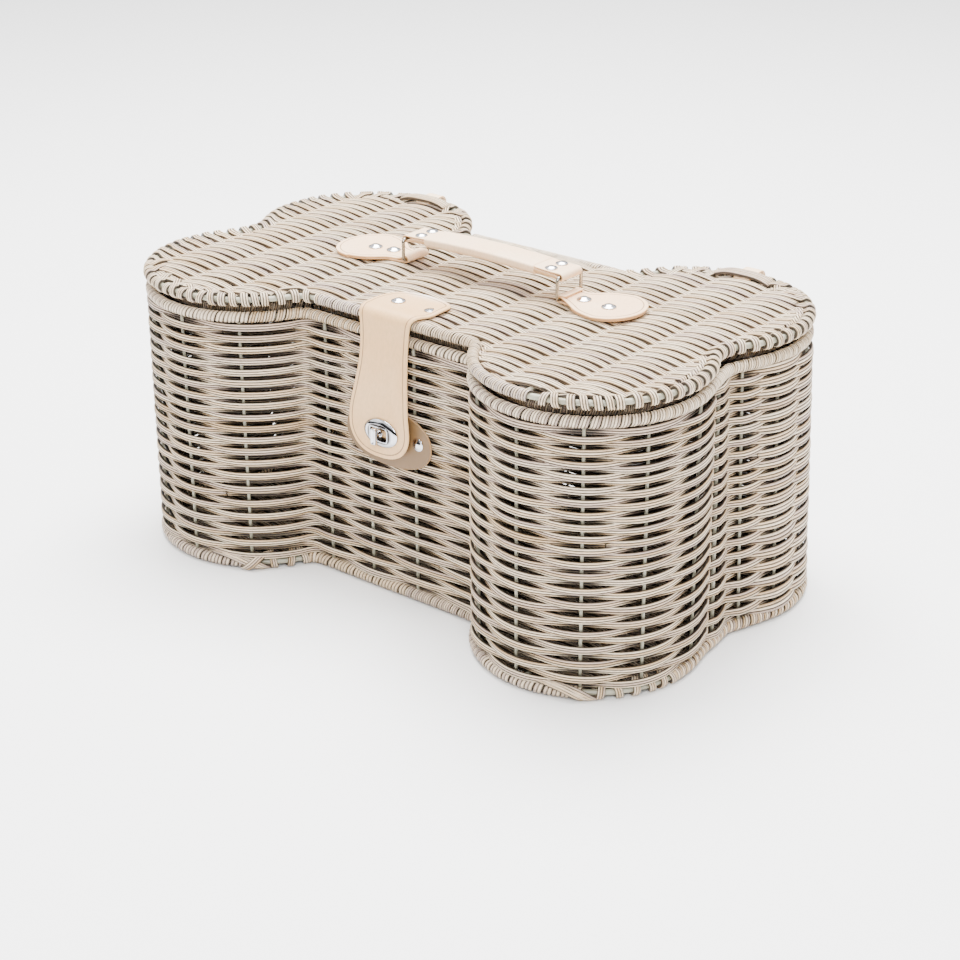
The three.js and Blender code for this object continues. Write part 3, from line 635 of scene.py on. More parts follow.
# ------------------------------------------------------------------ wound rims
def helix(b, S0, S1, z, d0=0.0, pitch=7.4, rad=4.1, width=7.5, thick=2.9, seg=14, turns_max=22, section=None, jitter=1.0, base_low=0.62, light=1.0):
    """A flat strand wound round the rim wire, in lengths that start a little askew."""
    S = S0
    while S < S1 - 2:
        run = min(int(rng.integers(6, turns_max)), max(int(round((S1 - S) / pitch)), 1))
        p_run = pitch * (1 + 0.05 * rng.standard_normal())
        k = np.arange(run * seg + 1)
        th = 2 * np.pi * k / seg + 2.4
        adv = S + p_run * k / seg + jitter * 0.45 * np.sin(k / seg * 1.7 + rng.uniform(0, 6)) * np.minimum(1, np.minimum(k, k[::-1]) / seg)
        # the first turns lean more
        adv = adv - 2.2 * np.exp(-k / (0.8 * seg)) * np.sin(th) * 0.5
        adv = np.minimum(adv, S1)
        n, _ = ring_normal(adv)
        c = ring(adv, d0)
        wob = 1 + 0.03 * np.sin(adv * 0.9) + 0.02 * np.sin(adv * 0.31)
        dirv = np.column_stack([n * np.cos(-th)[:, None], np.sin(-th)])
        p = np.column_stack([c, np.full(len(adv), z)]) + dirv * (rad * wob)[:, None]
        # painted shade: the part of each turn that faces down is darker, and light scales the whole winding's painted
        # lightness
        low = base_low + (1 - base_low) * step(-0.9, 0.1, dirv[:, 2])
        b.sweep(p, dirv, width, thick, section or WOUND[int(S * 0.171) % 4], rng.random(), front=low * light, back=0.3, edge=(0.62, 0.62))
        S += p_run * run


def rim_piece(name, body, node, slotname, mat, spans, z, **kw):
    for i, (a, c) in enumerate(spans):
        b = Batch()
        helix(b, a, c, z, **kw)
        o = b.make(f"{name}_{i + 1}", mat, body == "basket")
        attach(o, body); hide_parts(node)


BARE = [(516.0, 600.0), (958.0, 1006.0)]      # where the base wire shows between loops
rim_piece("top_rim_winding", "basket", "top_rim_wrap", "rattan", WRAP, [(0, PER / 2), (PER / 2, PER)], Z_TOP, rad=3.75, thick=2.35)
rim_piece("base_rim_winding", "basket", "base_rim_wrap", "rattan", WRAP, [(BARE[0][1], BARE[1][0]), (BARE[1][1], 1600), (1600, PER + BARE[0][0])], Z_BASE, rad=3.95, thick=2.7)
# the lip winding sits recessed under the lid rim: painted shade darkens all of it
rim_piece("lip_winding", "lid", "lid_lip_ring", "rattan", WRAP, [(0, PER / 2), (PER / 2, PER)], 244.9,
          d0=-11.0, rad=3.3, width=6.2, thick=2.2, seg=12, pitch=6.0, section=CORD_L, base_low=1.0, light=0.62)


def around(Sc, lean, angs, z, rr, lead_in=(), lead_out=()):
    """A strand over the rim wire at Sc: angs in degrees from the outside, lean is how far it moves along the rim meanwhile."""
    pts, fs = [], []
    for S, d, dz, face in lead_in:
        q = ring(S, d)
        nn, _ = ring_normal(S)
        pts.append(np.array([q[0], q[1], z + dz]))
        fs.append(np.array([nn[0] * face, nn[1] * face, 1.0]))
    m = len(angs)
    for i, a in enumerate(angs):
        a = math.radians(a)
        S = Sc + lean * (i / (m - 1) - 0.5)
        q = ring(S, rr * math.cos(a))
        nn, _ = ring_normal(S)
        pts.append(np.array([q[0], q[1], z + rr * math.sin(a)]))
        fs.append(np.array([nn[0] * math.cos(a), nn[1] * math.cos(a), math.sin(a)]))
    for S, d, dz, face in lead_out:
        q = ring(S, d)
        nn, _ = ring_normal(S)
        pts.append(np.array([q[0], q[1], z + dz]))
        fs.append(np.array([nn[0] * face, nn[1] * face, -1.0]))
    return catmull(np.array(pts), 4), catmull(np.array(fs), 4)


# loops where the base wire is bare: they come from behind the last row
bl = Batch()
for S0, S1 in BARE:
    S = S0 + 5
    k = 0
    while S < S1 - 6:
        lean = rng.uniform(2.5, 6.0) * (1 if k % 2 else -1)
        a, f = around(S, lean, (128, 98, 66, 34, 2, -30, -62, -95, -130, -160), Z_BASE, 4.15,
                      lead_in=[(S - 0.9 * lean, -6.5, 9.0, 0.8), (S - 0.7 * lean, -4.6, 6.4, 0.5)], lead_out=[(S + 0.8 * lean, -6.0, 1.5, -0.5)])
        bl.sweep(a, f, 6.6, 2.9, CORD_L, rng.random(), front=0.95, back=0.3, edge=(0.6, 0.6))
        S += rng.uniform(10.5, 15.0)
        k += 1


def laid(points, z):
    """A strand laid over the winding: points are (S, angle from the outside in degrees, distance from the wire)."""
    p = catmull(np.array(points, float), 5)
    a = np.radians(p[:, 1])
    nn, _ = ring_normal(p[:, 0])
    q = np.array([ring(s, r * math.cos(b)) for s, b, r in zip(p[:, 0], a, p[:, 2])])
    return np.column_stack([q, z + p[:, 2] * np.sin(a)]), np.column_stack([nn * np.cos(a)[:, None], np.sin(a)])


# where a winding ends its last strand runs down over it and under the rim
for Sx in (598.0, 1004.0):
    for off, r in ((0.0, 6.6), (-6.0, 6.4)):
        P, F = laid([(Sx + 42 + off, 96, r - 1.2), (Sx + 32 + off, 76, r), (Sx + 22 + off, 56, r), (Sx + 13 + off, 32, r), (Sx + 6 + off, 4, r - 0.3), (Sx + 1 + off, -30, r - 1.3),
                     (Sx - 2 + off, -66, 4.3), (Sx - 4 + off, -100, 4.2), (Sx - 5 + off, -140, 4.2)], Z_BASE)
        bl.sweep(P, F, 6.6, 2.6, CORD_L, rng.random(), front=1.0, back=0.3, edge=(0.6, 0.6))
P, F = laid([(992, 118, 8.5), (996, 98, 8.0), (1000, 70, 7.6), (1004, 40, 7.9), (1008, 12, 8.0), (1012, -14, 7.4), (1015, -36, 6.7), (1017, -48, 6.0)], Z_BASE)
bl.sweep(P, F, 7.0, 2.6, CORD_L, rng.random(), front=1.0, back=0.3, edge=(0.6, 0.6))
o = bl.make("base_rim_loops", WRAP, True)
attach(o, "basket"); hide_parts("base_rim_wrap")


# ------------------------------------------------------------------ woven panels
def crossings(y):
    """x intervals inside the outline at height y, with the S of each end."""
    p = ring(SD)
    out = []
    for i in range(len(SD)):
        a, c = p[i, 1] - y, p[(i + 1) % len(SD), 1] - y
        if a == 0 or a * c < 0:
            t = a / (a - c) if a != c else 0
            x = p[i, 0] + t * (p[(i + 1) % len(SD), 0] - p[i, 0])
            out.append((x, (SD[i] + t * (PER / len(SD))) % PER))
    out.sort()
    return [(out[i], out[i + 1]) for i in range(0, len(out) - 1, 2)]


def dense(S):
    S = S % PER
    return 645 < S < 938 or S > PER - 80 or S < 80


def weave_phase(x, wires, sign, shift=0.0):
    w = np.array(wires, float)
    ext = np.concatenate([[w[0] - 2 * (w[1] - w[0])], [w[0] - (w[1] - w[0])], w, [w[-1] + (w[-1] - w[-2])], [w[-1] + 2 * (w[-1] - w[-2])]])
    ph = np.interp(x, ext, np.arange(len(ext)) - 2)
    return sign * np.cos(np.pi * (ph + shift))


def panel(name, body, node, mat, wires, z, pitch, loops, section, up=1.0, down=0.5):
    y = -158.5
    ys = []
    while y <= 158.6:
        ys.append(y)
        y += pitch
    off = (ys[0] + ys[-1]) / 2
    ys = [v - off for v in ys]
    batches = [Batch()]
    taken = []
    for k, y in enumerate(ys):
        sign = 1 if k % 2 else -1
        for (xa, Sa), (xb, Sb) in crossings(y):
            if xb - xa < 30:
                continue
            tone = rng.random()
            ends = []
            for (xe, Se, side) in ((xa, Sa, -1), (xb, Sb, 1)):
                n, t = ring_normal(Se)
                cosr = abs(n[0])
                inset = 8.5 / max(cosr, 0.3)
                ends.append((xe, Se, side, n, t, inset))
            x0, x1 = ends[0][0] + ends[0][5], ends[1][0] - ends[1][5]
            if x1 - x0 < 12:
                continue
            xs = np.arange(x0, x1, 5.0)
            xs = np.append(xs, x1)
            u = rng.uniform(0, 6.28)
            c = weave_phase(xs, wires, sign)
            yy = y + 0.45 * np.sin(xs / 41 + u) + rng.normal(0, 0.18)
            zz = z + AMP * (1 + 0.04 * rng.standard_normal()) * np.sign(c) * np.abs(c) ** 0.9
            mid = np.column_stack([xs, yy, zz])
            face = np.tile(np.array([0, 0, 1.0]), (len(xs), 1))
            cc, rise = np.clip(c, 0, 1), np.clip(weave_phase(xs, wires, sign, 0.5), 0, 1)
            P, F, W = [mid], [face], [7.2 + 1.5 * cc ** 2 + 3.2 * cc * rise]
            # painted light and shade: a row is darkened where it dips under a wire; up and down scale the top and
            # bottom sides
            fr, bk = [up * lit(c, 0.12, -0.92, -0.15)], [down * lit(-c, 0.15)]
            for e, (xe, Se, side, n, t, inset) in enumerate(ends):
                start = mid[0] if side < 0 else mid[-1]
                pts, fs = [start], [np.array([0, 0, 1.0])]
                drift = np.sign(np.dot(t, [side, 0])) * (1 - abs(n[0])) * 5.0
                if loops and not dense(Se) and k % 2 == 0:
                    taken.append(Se)
                    lean = drift * 1.2 + rng.uniform(-2.4, 2.4)
                    angs = [125, 92, 55, 15, -30, -75, -115, -150]
                    rr = 4.2 + rng.uniform(-0.1, 0.25)
                    for a in angs:
                        a = math.radians(a)
                        dd = rr * math.cos(a)
                        pc = ring(Se + lean * (0.4 - (a + 2.6) / 4.8), dd)
                        nn, _ = ring_normal(Se)
                        pts.append(np.array([pc[0], pc[1], Z_LID + rr * math.sin(a)]))
                        fs.append(np.array([nn[0] * math.cos(a), nn[1] * math.cos(a), math.sin(a)]))
                else:
                    down = z - 3.4
                    p1 = ring(Se, -7.0)
                    pts.append(np.array([p1[0], p1[1], start[2] * 0.6 + down * 0.4 + (0.8 if loops else 0)]))
                    p1 = ring(Se, -4.6)
                    pts.append(np.array([p1[0], p1[1], down]))
                    fs += [np.array([0, 0, 1.0])] * 2
                cur = catmull(np.array(pts), 4)[1:]
                fcur = catmull(np.array(fs), 4)[1:]
                c0 = fr[0][0] if side < 0 else fr[-1][-1]
                ramp_in = c0 + (up - c0) * np.clip(np.arange(len(cur)) / 5, 0, 1)
                W.insert(0 if side < 0 else len(W), np.full(len(cur), 7.2))
                if side < 0:
                    P.insert(0, cur[::-1]); F.insert(0, fcur[::-1]); fr.insert(0, ramp_in[::-1]); bk.insert(0, 0.3 + 0 * ramp_in)
                else:
                    P.append(cur); F.append(fcur); fr.append(ramp_in); bk.append(0.3 + 0 * ramp_in)
            path, face = np.concatenate(P), np.concatenate(F)
            if batches[-1].n > 80000:
                batches.append(Batch())
            batches[-1].sweep(path, face, np.concatenate(W), 3.4, section, tone, front=np.concatenate(fr), back=np.concatenate(bk), edge=(0.5, 0.45))
    for i, b in enumerate(batches):
        o = b.make(f"{name}_{i + 1}", mat, body == "basket")
        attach(o, body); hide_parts(node)
    return taken


taken = panel("lid_rows", "lid", "woven_lid", STRAND_LID, LID_WIRES, Z_LID, 5.5, True, CORD_LID)
# painted shade: the base's top side, inside the basket, is darkened to 0.35 and its underside kept light
panel("base_rows", "basket", "woven_base", STRAND, BASE_WIRES, Z_BASE, 5.5, False, CORD_L, 0.35, 0.9)
rim_piece("lid_rim_winding", "lid", "lid_rim_wrap", "rattan_lid", WRAP_LID, [(645, 938), (PER - 80, PER + 80)], Z_LID, rad=3.8, thick=2.35, section=WOUND[1])

# more loops where the rim runs nearly along the rows
rl = Batch()
taken = sorted(taken)
for i, S in enumerate(taken):
    nxt = taken[(i + 1) % len(taken)] + (PER if i == len(taken) - 1 else 0)
    if nxt - S < 15.0:
        continue
    if dense((S + nxt) / 2):
        S_lo, S_hi = S, nxt
        pieces = [(a, c) for a, c in ((S, 645 if 500 < S < 700 else S), (938 if 900 < nxt < 1000 else nxt, nxt)) if c - a > 9]
        if S > 1500 or S < 200:
            pieces = [(a, c) for a, c in ((S, PER - 80), (PER + 80, nxt)) if c - a > 9]
    else:
        pieces = [(S, nxt)]
    for a, c in pieces:
        m = max(int(round((c - a) / 10.0)), 1)
        for j in range(1, m):
            Sc = a + (c - a) * j / m + rng.uniform(-0.9, 0.9)
            nn, tt = ring_normal(Sc)
            # strands come from the left, as seen from the front
            s = 1.0 if nn[1] < 0 else -1.0
            z_out = rng.uniform(-0.3, 0.3)
            if j % 2 or m < 3:
                P, F = around(Sc, -s * 4.0, (112, 80, 48, 14, -22, -60, -100, -140), Z_LID, 4.3 + 0.1 * z_out,
                              lead_in=[(Sc + s * 24, -17.5, 0.2, -0.1), (Sc + s * 15, -12.5, 3.2, -0.1), (Sc + s * 7.5, -7.5, 4.6, 0.0)], lead_out=[(Sc - s * 6, -6, -2.6, 0.0)])
            else:
                P, F = around(Sc, s * 5.0, (120, 84, 48, 12, -25, -62, -100, -140), Z_LID, 4.0,
                              lead_in=[(Sc - s * 17, -13.5, 0.6, -0.1), (Sc - s * 9, -8.5, 3.4, 0.0)], lead_out=[(Sc + s * 6, -6, -2.6, 0.0)])
            rl.sweep(P, F, 6.5, 3.0, CORD_L, rng.random(), front=1.0, back=0.3, edge=(0.55, 0.55))
o = rl.make("lid_rim_loops", STRAND_LID)
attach(o, "lid"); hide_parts("lid_rim_wrap")


# ------------------------------------------------------------------ leather
def leather(name, mat, L, lo, hi, place, thick, groove=0.28, edges=(0, 0.25, 0.7, 1.4, 2.6, 3.4, 3.9, 4.4, 5.4), mid=7, lines=True, pale_band_of=None):
    """Flat outline lo(L)..hi(L), placed by place(l, c, h). The edge attribute is the distance to the edge in mm."""
    L, lo, hi = (np.asarray(a, float) for a in (L, lo, hi))
    wd = hi - lo
    e = np.array(edges)
    cols = []
    k = np.minimum(1.0, wd / (2.2 * e[-1]))
    for v in e:
        cols.append(lo + v * k)
    for f in np.linspace(0, 1, mid + 2)[1:-1]:
        cols.append((lo + e[-1] * k) * (1 - f) + (hi - e[-1] * k) * f)
    for v in e[::-1]:
        cols.append(hi - v * k)
    C = np.stack(cols, 1)
    n, m = C.shape
    LL = np.repeat(L[:, None], m, 1)
    # distance to the outline
    per = np.concatenate([np.column_stack([L, lo]), np.column_stack([L, hi])[::-1]])
    per = np.concatenate([per, per[:1]])
    seg_a, seg_b = per[:-1], per[1:]
    pts = np.column_stack([LL.ravel(), C.ravel()])
    D = np.full(len(pts), 1e9)
    for a, b_ in zip(seg_a, seg_b):
        ab = b_ - a
        q = ab @ ab
        if q < 1e-9:
            continue
        t = np.clip(((pts - a) @ ab) / q, 0, 1)
        D = np.minimum(D, np.linalg.norm(pts - a - t[:, None] * ab, axis=1))
    D = D.reshape(n, m)
    r = min(thick * 0.5, 1.3)
    rnd = np.sqrt(np.clip(1 - (1 - np.minimum(D / r, 1)) ** 2, 0, 1))
    h = thick / 2 * rnd
    g = groove * np.exp(-((D - 3.9) / 0.42) ** 2) if lines else 0.0
    top = place(LL.ravel(), C.ravel(), (h - g).ravel())
    bot = place(LL.ravel(), C.ravel(), (-h).ravel())
    pale_band = (pale_band_of(LL, C, D) if pale_band_of else 0.0 * D).ravel()
    i = np.arange(n - 1)[:, None] * m + np.arange(m - 1)[None, :]
    i = i.ravel()
    q1 = np.stack([i, i + m, i + m + 1, i + 1], 1)
    q2 = np.stack([i, i + 1, i + m + 1, i + m], 1) + n * m
    o = build(name, np.concatenate([top, bot]), np.concatenate([q1, q2]), [], mat,
              {"edge": np.concatenate([D.ravel(), D.ravel()]), "pale_band": np.concatenate([pale_band, pale_band])}, weld=2e-5)
    return o


def ends_dense(a, b, fine=0.35, step=2.5, near=9.0):
    """Stations from a to b, close together near both ends."""
    out, x = [a], a
    while x < b:
        k = min(x - a, b - x)
        x += fine + (step - fine) * min(max(k, 0) / near, 1) ** 0.8
        out.append(min(x, b))
    return np.array(out)


def rivet(name, body, node, pos, normal, s=1.0, flat=1.0):
    prof = [(0, 2.15), (1.2, 2.1), (2.4, 1.85), (3.4, 1.4), (4.1, 0.95), (4.5, 0.8), (5.2, 0.72), (5.6, 0.45), (5.7, 0.1), (5.4, -0.15), (2.0, -0.2), (1.6, -3.0), (0, -3.0)]
    n = 36
    v, q = [], []
    for r, z in prof:
        for i in range(n):
            a = 2 * math.pi * i / n
            v.append((r * s * math.cos(a), r * s * math.sin(a), z * s * (flat if z > 0 else 1.0)))
    for j in range(len(prof) - 1):
        for i in range(n):
            q.append((j * n + i, (j + 1) * n + i, (j + 1) * n + (i + 1) % n, j * n + (i + 1) % n))
    v = np.array(v)
    rot = np.array(Vector(normal).to_track_quat("Z", "Y").to_matrix())
    v = v @ rot.T + np.array(pos)
    o = build(name, v, q, [], CHROME, weld=2e-5)
    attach(o, body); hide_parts(node)
    return o


# closing strap: stations along the middle line [y, z, left edge x, right edge x]
STRAP = [
    (-58.5, 262.6, 3, 7), (-59.6, 262.3, -7, 17.5), (-62, 262.0, -16, 28), (-66, 261.8, -23, 34.5), (-72, 261.7, -27.5, 38.6), (-80, 261.6, -30, 40.2),
    (-88, 261.6, -30.8, 39.6), (-96, 261.8, -30.0, 38.0), (-101, 262.4, -28.8, 36.6), (-106, 262.9, -27.3, 34.8), (-110.2, 262.1, -26.1, 33.4),
    (-113.0, 259.6, -25.0, 32.0), (-114.1, 255.5, -24.2, 31.0), (-114.3, 248, -23.4, 29.9), (-114.6, 238, -23.3, 29.0), (-115.1, 226, -23.8, 28.4),
    (-115.9, 214, -25.2, 28.6), (-116.8, 203, -27.4, 28.9), (-118, 190, -30.2, 29.9), (-119.3, 179, -32.4, 31.0), (-120, 170, -33.6, 32.2),
    (-120, 162, -34.0, 32.7), (-120, 155, -33.2, 32.0), (-120, 148, -30.4, 29.4), (-120, 142, -25.6, 24.6), (-120, 138, -19.6, 18.6), (-120, 135.6, -12.6, 11.6), (-120, 134.6, -5, 4),
]
sp = catmull(np.array(STRAP, float), 10)
arc = np.concatenate([[0], np.cumsum(np.linalg.norm(np.diff(sp[:, :2], axis=0), axis=1))])
ST_LEN = arc[-1]
tan = np.gradient(sp[:, :2], axis=0)
tan /= np.linalg.norm(tan, axis=1)[:, None]
nrm = np.column_stack([tan[:, 1], -tan[:, 0]])       # towards the outside


def strap_place(l, c, h, extra=0.0):
    y, z = np.interp(l, arc, sp[:, 0]), np.interp(l, arc, sp[:, 1])
    ny, nz = np.interp(l, arc, nrm[:, 0]), np.interp(l, arc, nrm[:, 1])
    q = np.hypot(ny, nz)
    # the corner by the second rivet lifts a little
    lift = 2.2 * np.exp(-(((c - 37) / 9) ** 2 + ((l - 22) / 11) ** 2))
    return np.column_stack([c, y + ny / q * (h + lift), z + nz / q * (h + lift)])


Ls = ends_dense(0, ST_LEN, 0.3, 2.2, 10)
fold_l = float(np.interp(-109, -sp[:, 0], arc))


def strap_fold_band(l, c, d):
    """The leather is paler where it bends over the rims."""
    return np.exp(-((l - fold_l) / 6.5) ** 2) * (0.75 + 0.25 * np.cos(c / 9.0))


strap = leather("closing_strap", HIDE_STRAP, Ls, np.interp(Ls, arc, sp[:, 2]), np.interp(Ls, arc, sp[:, 3]), strap_place, 2.4, pale_band_of=strap_fold_band)
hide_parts("closure_strap")
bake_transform(strap)

for i, (x, y) in enumerate([(-7, -84.5), (29.5, -86.5)]):
    rivet(f"strap_rivet_{i + 1}", "lid", f"closure_rivet_{i + 1}", (x, y, 263.0 if i == 0 else 263.55), (0.0, 0.0, 1.0), 1.12 if i == 0 else 0.9, 1.2 if i == 0 else 0.55)


# lock patch on the wall
def superellipse(a, b, p, L):
    t = np.clip(1 - np.abs(L / a) ** p, 0, 1) ** (1 / p)
    return b * t


Lp = ends_dense(-47.3, 47.3, 0.2, 2.2, 10)
hw = superellipse(47.3, 26.3, 2.25, Lp)
patch = leather("lock_patch_leather", HIDE_PATCH, Lp, 151 - hw, 151 + hw,
                lambda l, c, h: np.column_stack([3.0 + l, -111.9 - h + 0 * l, c]), 2.2, lines=False)
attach(patch, "basket"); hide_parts("lock_patch")
for i, (x, z) in enumerate([(-25, 153), (36.5, 153)]):
    rivet(f"patch_rivet_{i + 1}", "basket", f"patch_rivet_{i + 1}", (x, -113.1, z), (0, -1, 0))


# handle tabs
def tab_shape(side, bx, cx, cy, R, ry):
    """Along l from the bar outwards: neck of half width 14 running into a round bulb."""
    x_end = (cx + side * R - bx) * side
    L = ends_dense(-2.2, x_end, 0.25, 1.8, 8)
    lo, hi = [], []
    for l in L:
        x = bx + side * l
        dx = x - cx
        r = math.sqrt(max(R * R - dx * dx, 0.0)) * ry / R
        lo_b, hi_b = cy - r, cy + r
        neck = 14.0
        lo_n, hi_n = 13 - neck, 13 + neck
        if side * dx < 0:
            # smooth union of the neck and the bulb on the side of the bar
            def blendw(b_, n_):
                k = 7.0
                return math.log(math.exp(b_ / k) + math.exp(n_ / k)) * k
            w_lo, w_hi = max(cy - lo_b, 0), max(hi_b - cy, 0)
            lo_v = cy - max(blendw(w_lo, cy - lo_n) - 2.2, cy - lo_n) if w_lo > 4 else lo_n
            hi_v = cy + max(blendw(w_hi, hi_n - cy) - 2.2, hi_n - cy) if w_hi > 4 else hi_n
        else:
            lo_v, hi_v = lo_b, hi_b
        lo.append(lo_v); hi.append(hi_v)
    return L, np.array(lo), np.array(hi)


def smooth(a, k):
    a = np.asarray(a, float)
    for _ in range(k):
        a[1:-1] = 0.25 * a[:-2] + 0.5 * a[1:-1] + 0.25 * a[2:]
    return a


def tab(k, side, cx, cy, R, ry):
    bx = 13 + side * 85
    L, lo, hi = tab_shape(side, bx, cx, cy, R, ry)
    keep = slice(6, int(len(L) * 0.6))
    lo2, hi2 = smooth(lo.copy(), 14), smooth(hi.copy(), 14)
    lo[keep], hi[keep] = lo2[keep], hi2[keep]
    # upper layer rises from the lid to go over the bar
    def upper(l, c, h):
        rise = 3.55 * (1 - np.clip((l - 1.0) / 12.0, 0, 1)) ** 1.6
        dome = 0.5 * np.exp(-((l - 40) / 25) ** 2)
        return np.column_stack([bx + side * l, c, 262.6 + rise + dome * 0 + h])
    o = leather(f"handle_tab_{k}_upper", HIDE, L, lo, hi, upper, 1.9)
    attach(o, "lid"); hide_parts(f"handle_tab_{k}")
    # lower layer, a little smaller, comes round the bar
    th = np.linspace(math.pi / 2, -math.pi / 2, 9)
    path = [(-2.7 * math.cos(t), 264.1 + 2.7 * math.sin(t)) for t in th]
    path = [(6.0, 264.1 + 2.75)] + [(3.0, 264.1 + 2.75)] + path + [(4, 261.35), (8, 261.0), (14, 260.9), (22, 260.9)]
    pp = catmull(np.array(path), 5)
    ar = np.concatenate([[0], np.cumsum(np.linalg.norm(np.diff(pp, axis=0), axis=1))])
    tn = np.gradient(pp, axis=0)
    tn /= np.linalg.norm(tn, axis=1)[:, None]
    nn = np.column_stack([tn[:, 1], -tn[:, 0]])
    def fold(l, c, h):
        x, z = np.interp(l, ar, pp[:, 0]), np.interp(l, ar, pp[:, 1])
        nx, nz = np.interp(l, ar, nn[:, 0]), np.interp(l, ar, nn[:, 1])
        return np.column_stack([bx + side * (x + nx * h), c, z + nz * h])
    Lf = ends_dense(0, ar[-1], 0.5, 1.2, 3)
    wdt = np.interp(Lf, [0, 3, 6, ar[-1] - 14, ar[-1]], [12.4, 13.6, 14.0, 14.0, 15.5])
    f = leather(f"handle_tab_{k}_fold", HIDE_PLAIN, Lf, 13 - wdt, 13 + wdt, fold, 1.5, lines=False, mid=3)
    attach(f, "lid"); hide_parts(f"handle_tab_{k}")
    # lower layer of the bulb
    L2, lo2, hi2 = L[L > 14], lo[L > 14], hi[L > 14]
    cc = 13.0
    l3 = leather(f"handle_tab_{k}_lower", HIDE_PLAIN, L2 * 0.992, cc + (lo2 - cc) * 0.975, cc + (hi2 - cc) * 0.975,
                 lambda l, c, h: np.column_stack([bx + side * l, c, 260.95 + h + 0 * l]), 1.5, lines=False)
    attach(l3, "lid"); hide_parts(f"handle_tab_{k}")


tab("left", -1, -124.0, 13.5, 31.6, 34.6)
tab("right", 1, 138.0, 15.5, 31.9, 33.6)
for k, pts in {"left": [(-99, 14), (-118, 11)], "right": [(114, 12.5), (141, 10.5)]}.items():
    for i, (x, y) in enumerate(pts):
        rivet(f"tab_{k}_rivet_{i + 1}", "lid", f"tab_{k}_rivet_{i + 1}", (x, y, 263.75), (0, 0, 1), 1.14, 1.2)


# wire loops
def loop(k, side, body):
    w, h, r = 16.5, 19.0, 3.0
    pts = []
    for cy, cz, a0 in ((w - r, h - r, 0), (-w + r, h - r, 90), (-w + r, r, 180), (w - r, r, 270)):
        for i in range(7):
            a = math.radians(a0 + i * 15)
            pts.append((cy + r * math.cos(a), cz + r * math.sin(a)))
    p = np.array(pts)
    P = np.column_stack([np.full(len(p), 13.0 + side * 85), 13 + p[:, 0], 264.1 + p[:, 1]])
    b = Batch()
    b.sweep(P, (1, 0, 0), 3.0, 3.0, ROUND12, 0.5, True)
    o = b.make(f"wire_loop_{k}", STEEL)
    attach(o, body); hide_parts(f"handle_loop_{k}")


loop("left", -1, "left_loop")
loop("right", 1, "right_loop")


# grip: one band, folded back over both upper bars
def grip():
    Lh, zb = 85.0, 283.1
    crown = lambda x: 3.5 * (1 - (x / Lh) ** 2)
    left = [(-55, crown(55) + 1.95), (-62, crown(62) + 1.95), (-70, crown(70) + 2.0), (-78, crown(78) + 2.3), (-84, 2.85)]
    fold_l = [(-85 + 2.75 * math.cos(math.radians(a)), 2.75 * math.sin(math.radians(a))) for a in (110, 140, 170, 200, 230, 260)]
    xs = np.linspace(-80, 80, 25)
    main = [(x, crown(x) - 0.9) for x in xs]
    fold_r = [(-x, z) for x, z in fold_l[::-1]]
    right = [(-x, z) for x, z in left[::-1]]
    pts = np.array(left + fold_l + main + fold_r + right)
    pp = catmull(pts, 5)
    ar = np.concatenate([[0], np.cumsum(np.linalg.norm(np.diff(pp, axis=0), axis=1))])
    tn = np.gradient(pp, axis=0)
    tn /= np.linalg.norm(tn, axis=1)[:, None]
    nn = np.column_stack([-tn[:, 1], tn[:, 0]])
    tot = ar[-1]
    # thickness along the band
    a_fold = 34.0
    def th(l):
        k = np.minimum(l, tot - l)
        return np.interp(k, [0, 28, 33, 40, 46], [1.0, 1.0, 0.85, 0.9, 1.0]) * np.interp(k, [0, 40, 46], [1.8, 1.8, 3.6])
    def place(l, c, h):
        x, z = np.interp(l, ar, pp[:, 0]), np.interp(l, ar, pp[:, 1])
        nx, nz = np.interp(l, ar, nn[:, 0]), np.interp(l, ar, nn[:, 1])
        f = th(l) / 3.6
        return np.column_stack([13 + x + nx * h * f, c, zb + z + nz * h * f])
    L = ends_dense(0, tot, 0.5, 1.6, 4)
    k = np.minimum(L, tot - L)
    w = np.interp(k, [0, 0.6, 3.5, 60], [10.4, 11.2, 14.0, 14.0])
    o = leather("grip_band", HIDE_PLAIN, L, 13 - w, 13 + w, place, 3.6, lines=False, mid=7)
    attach(o, "handle"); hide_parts("handle_strap")


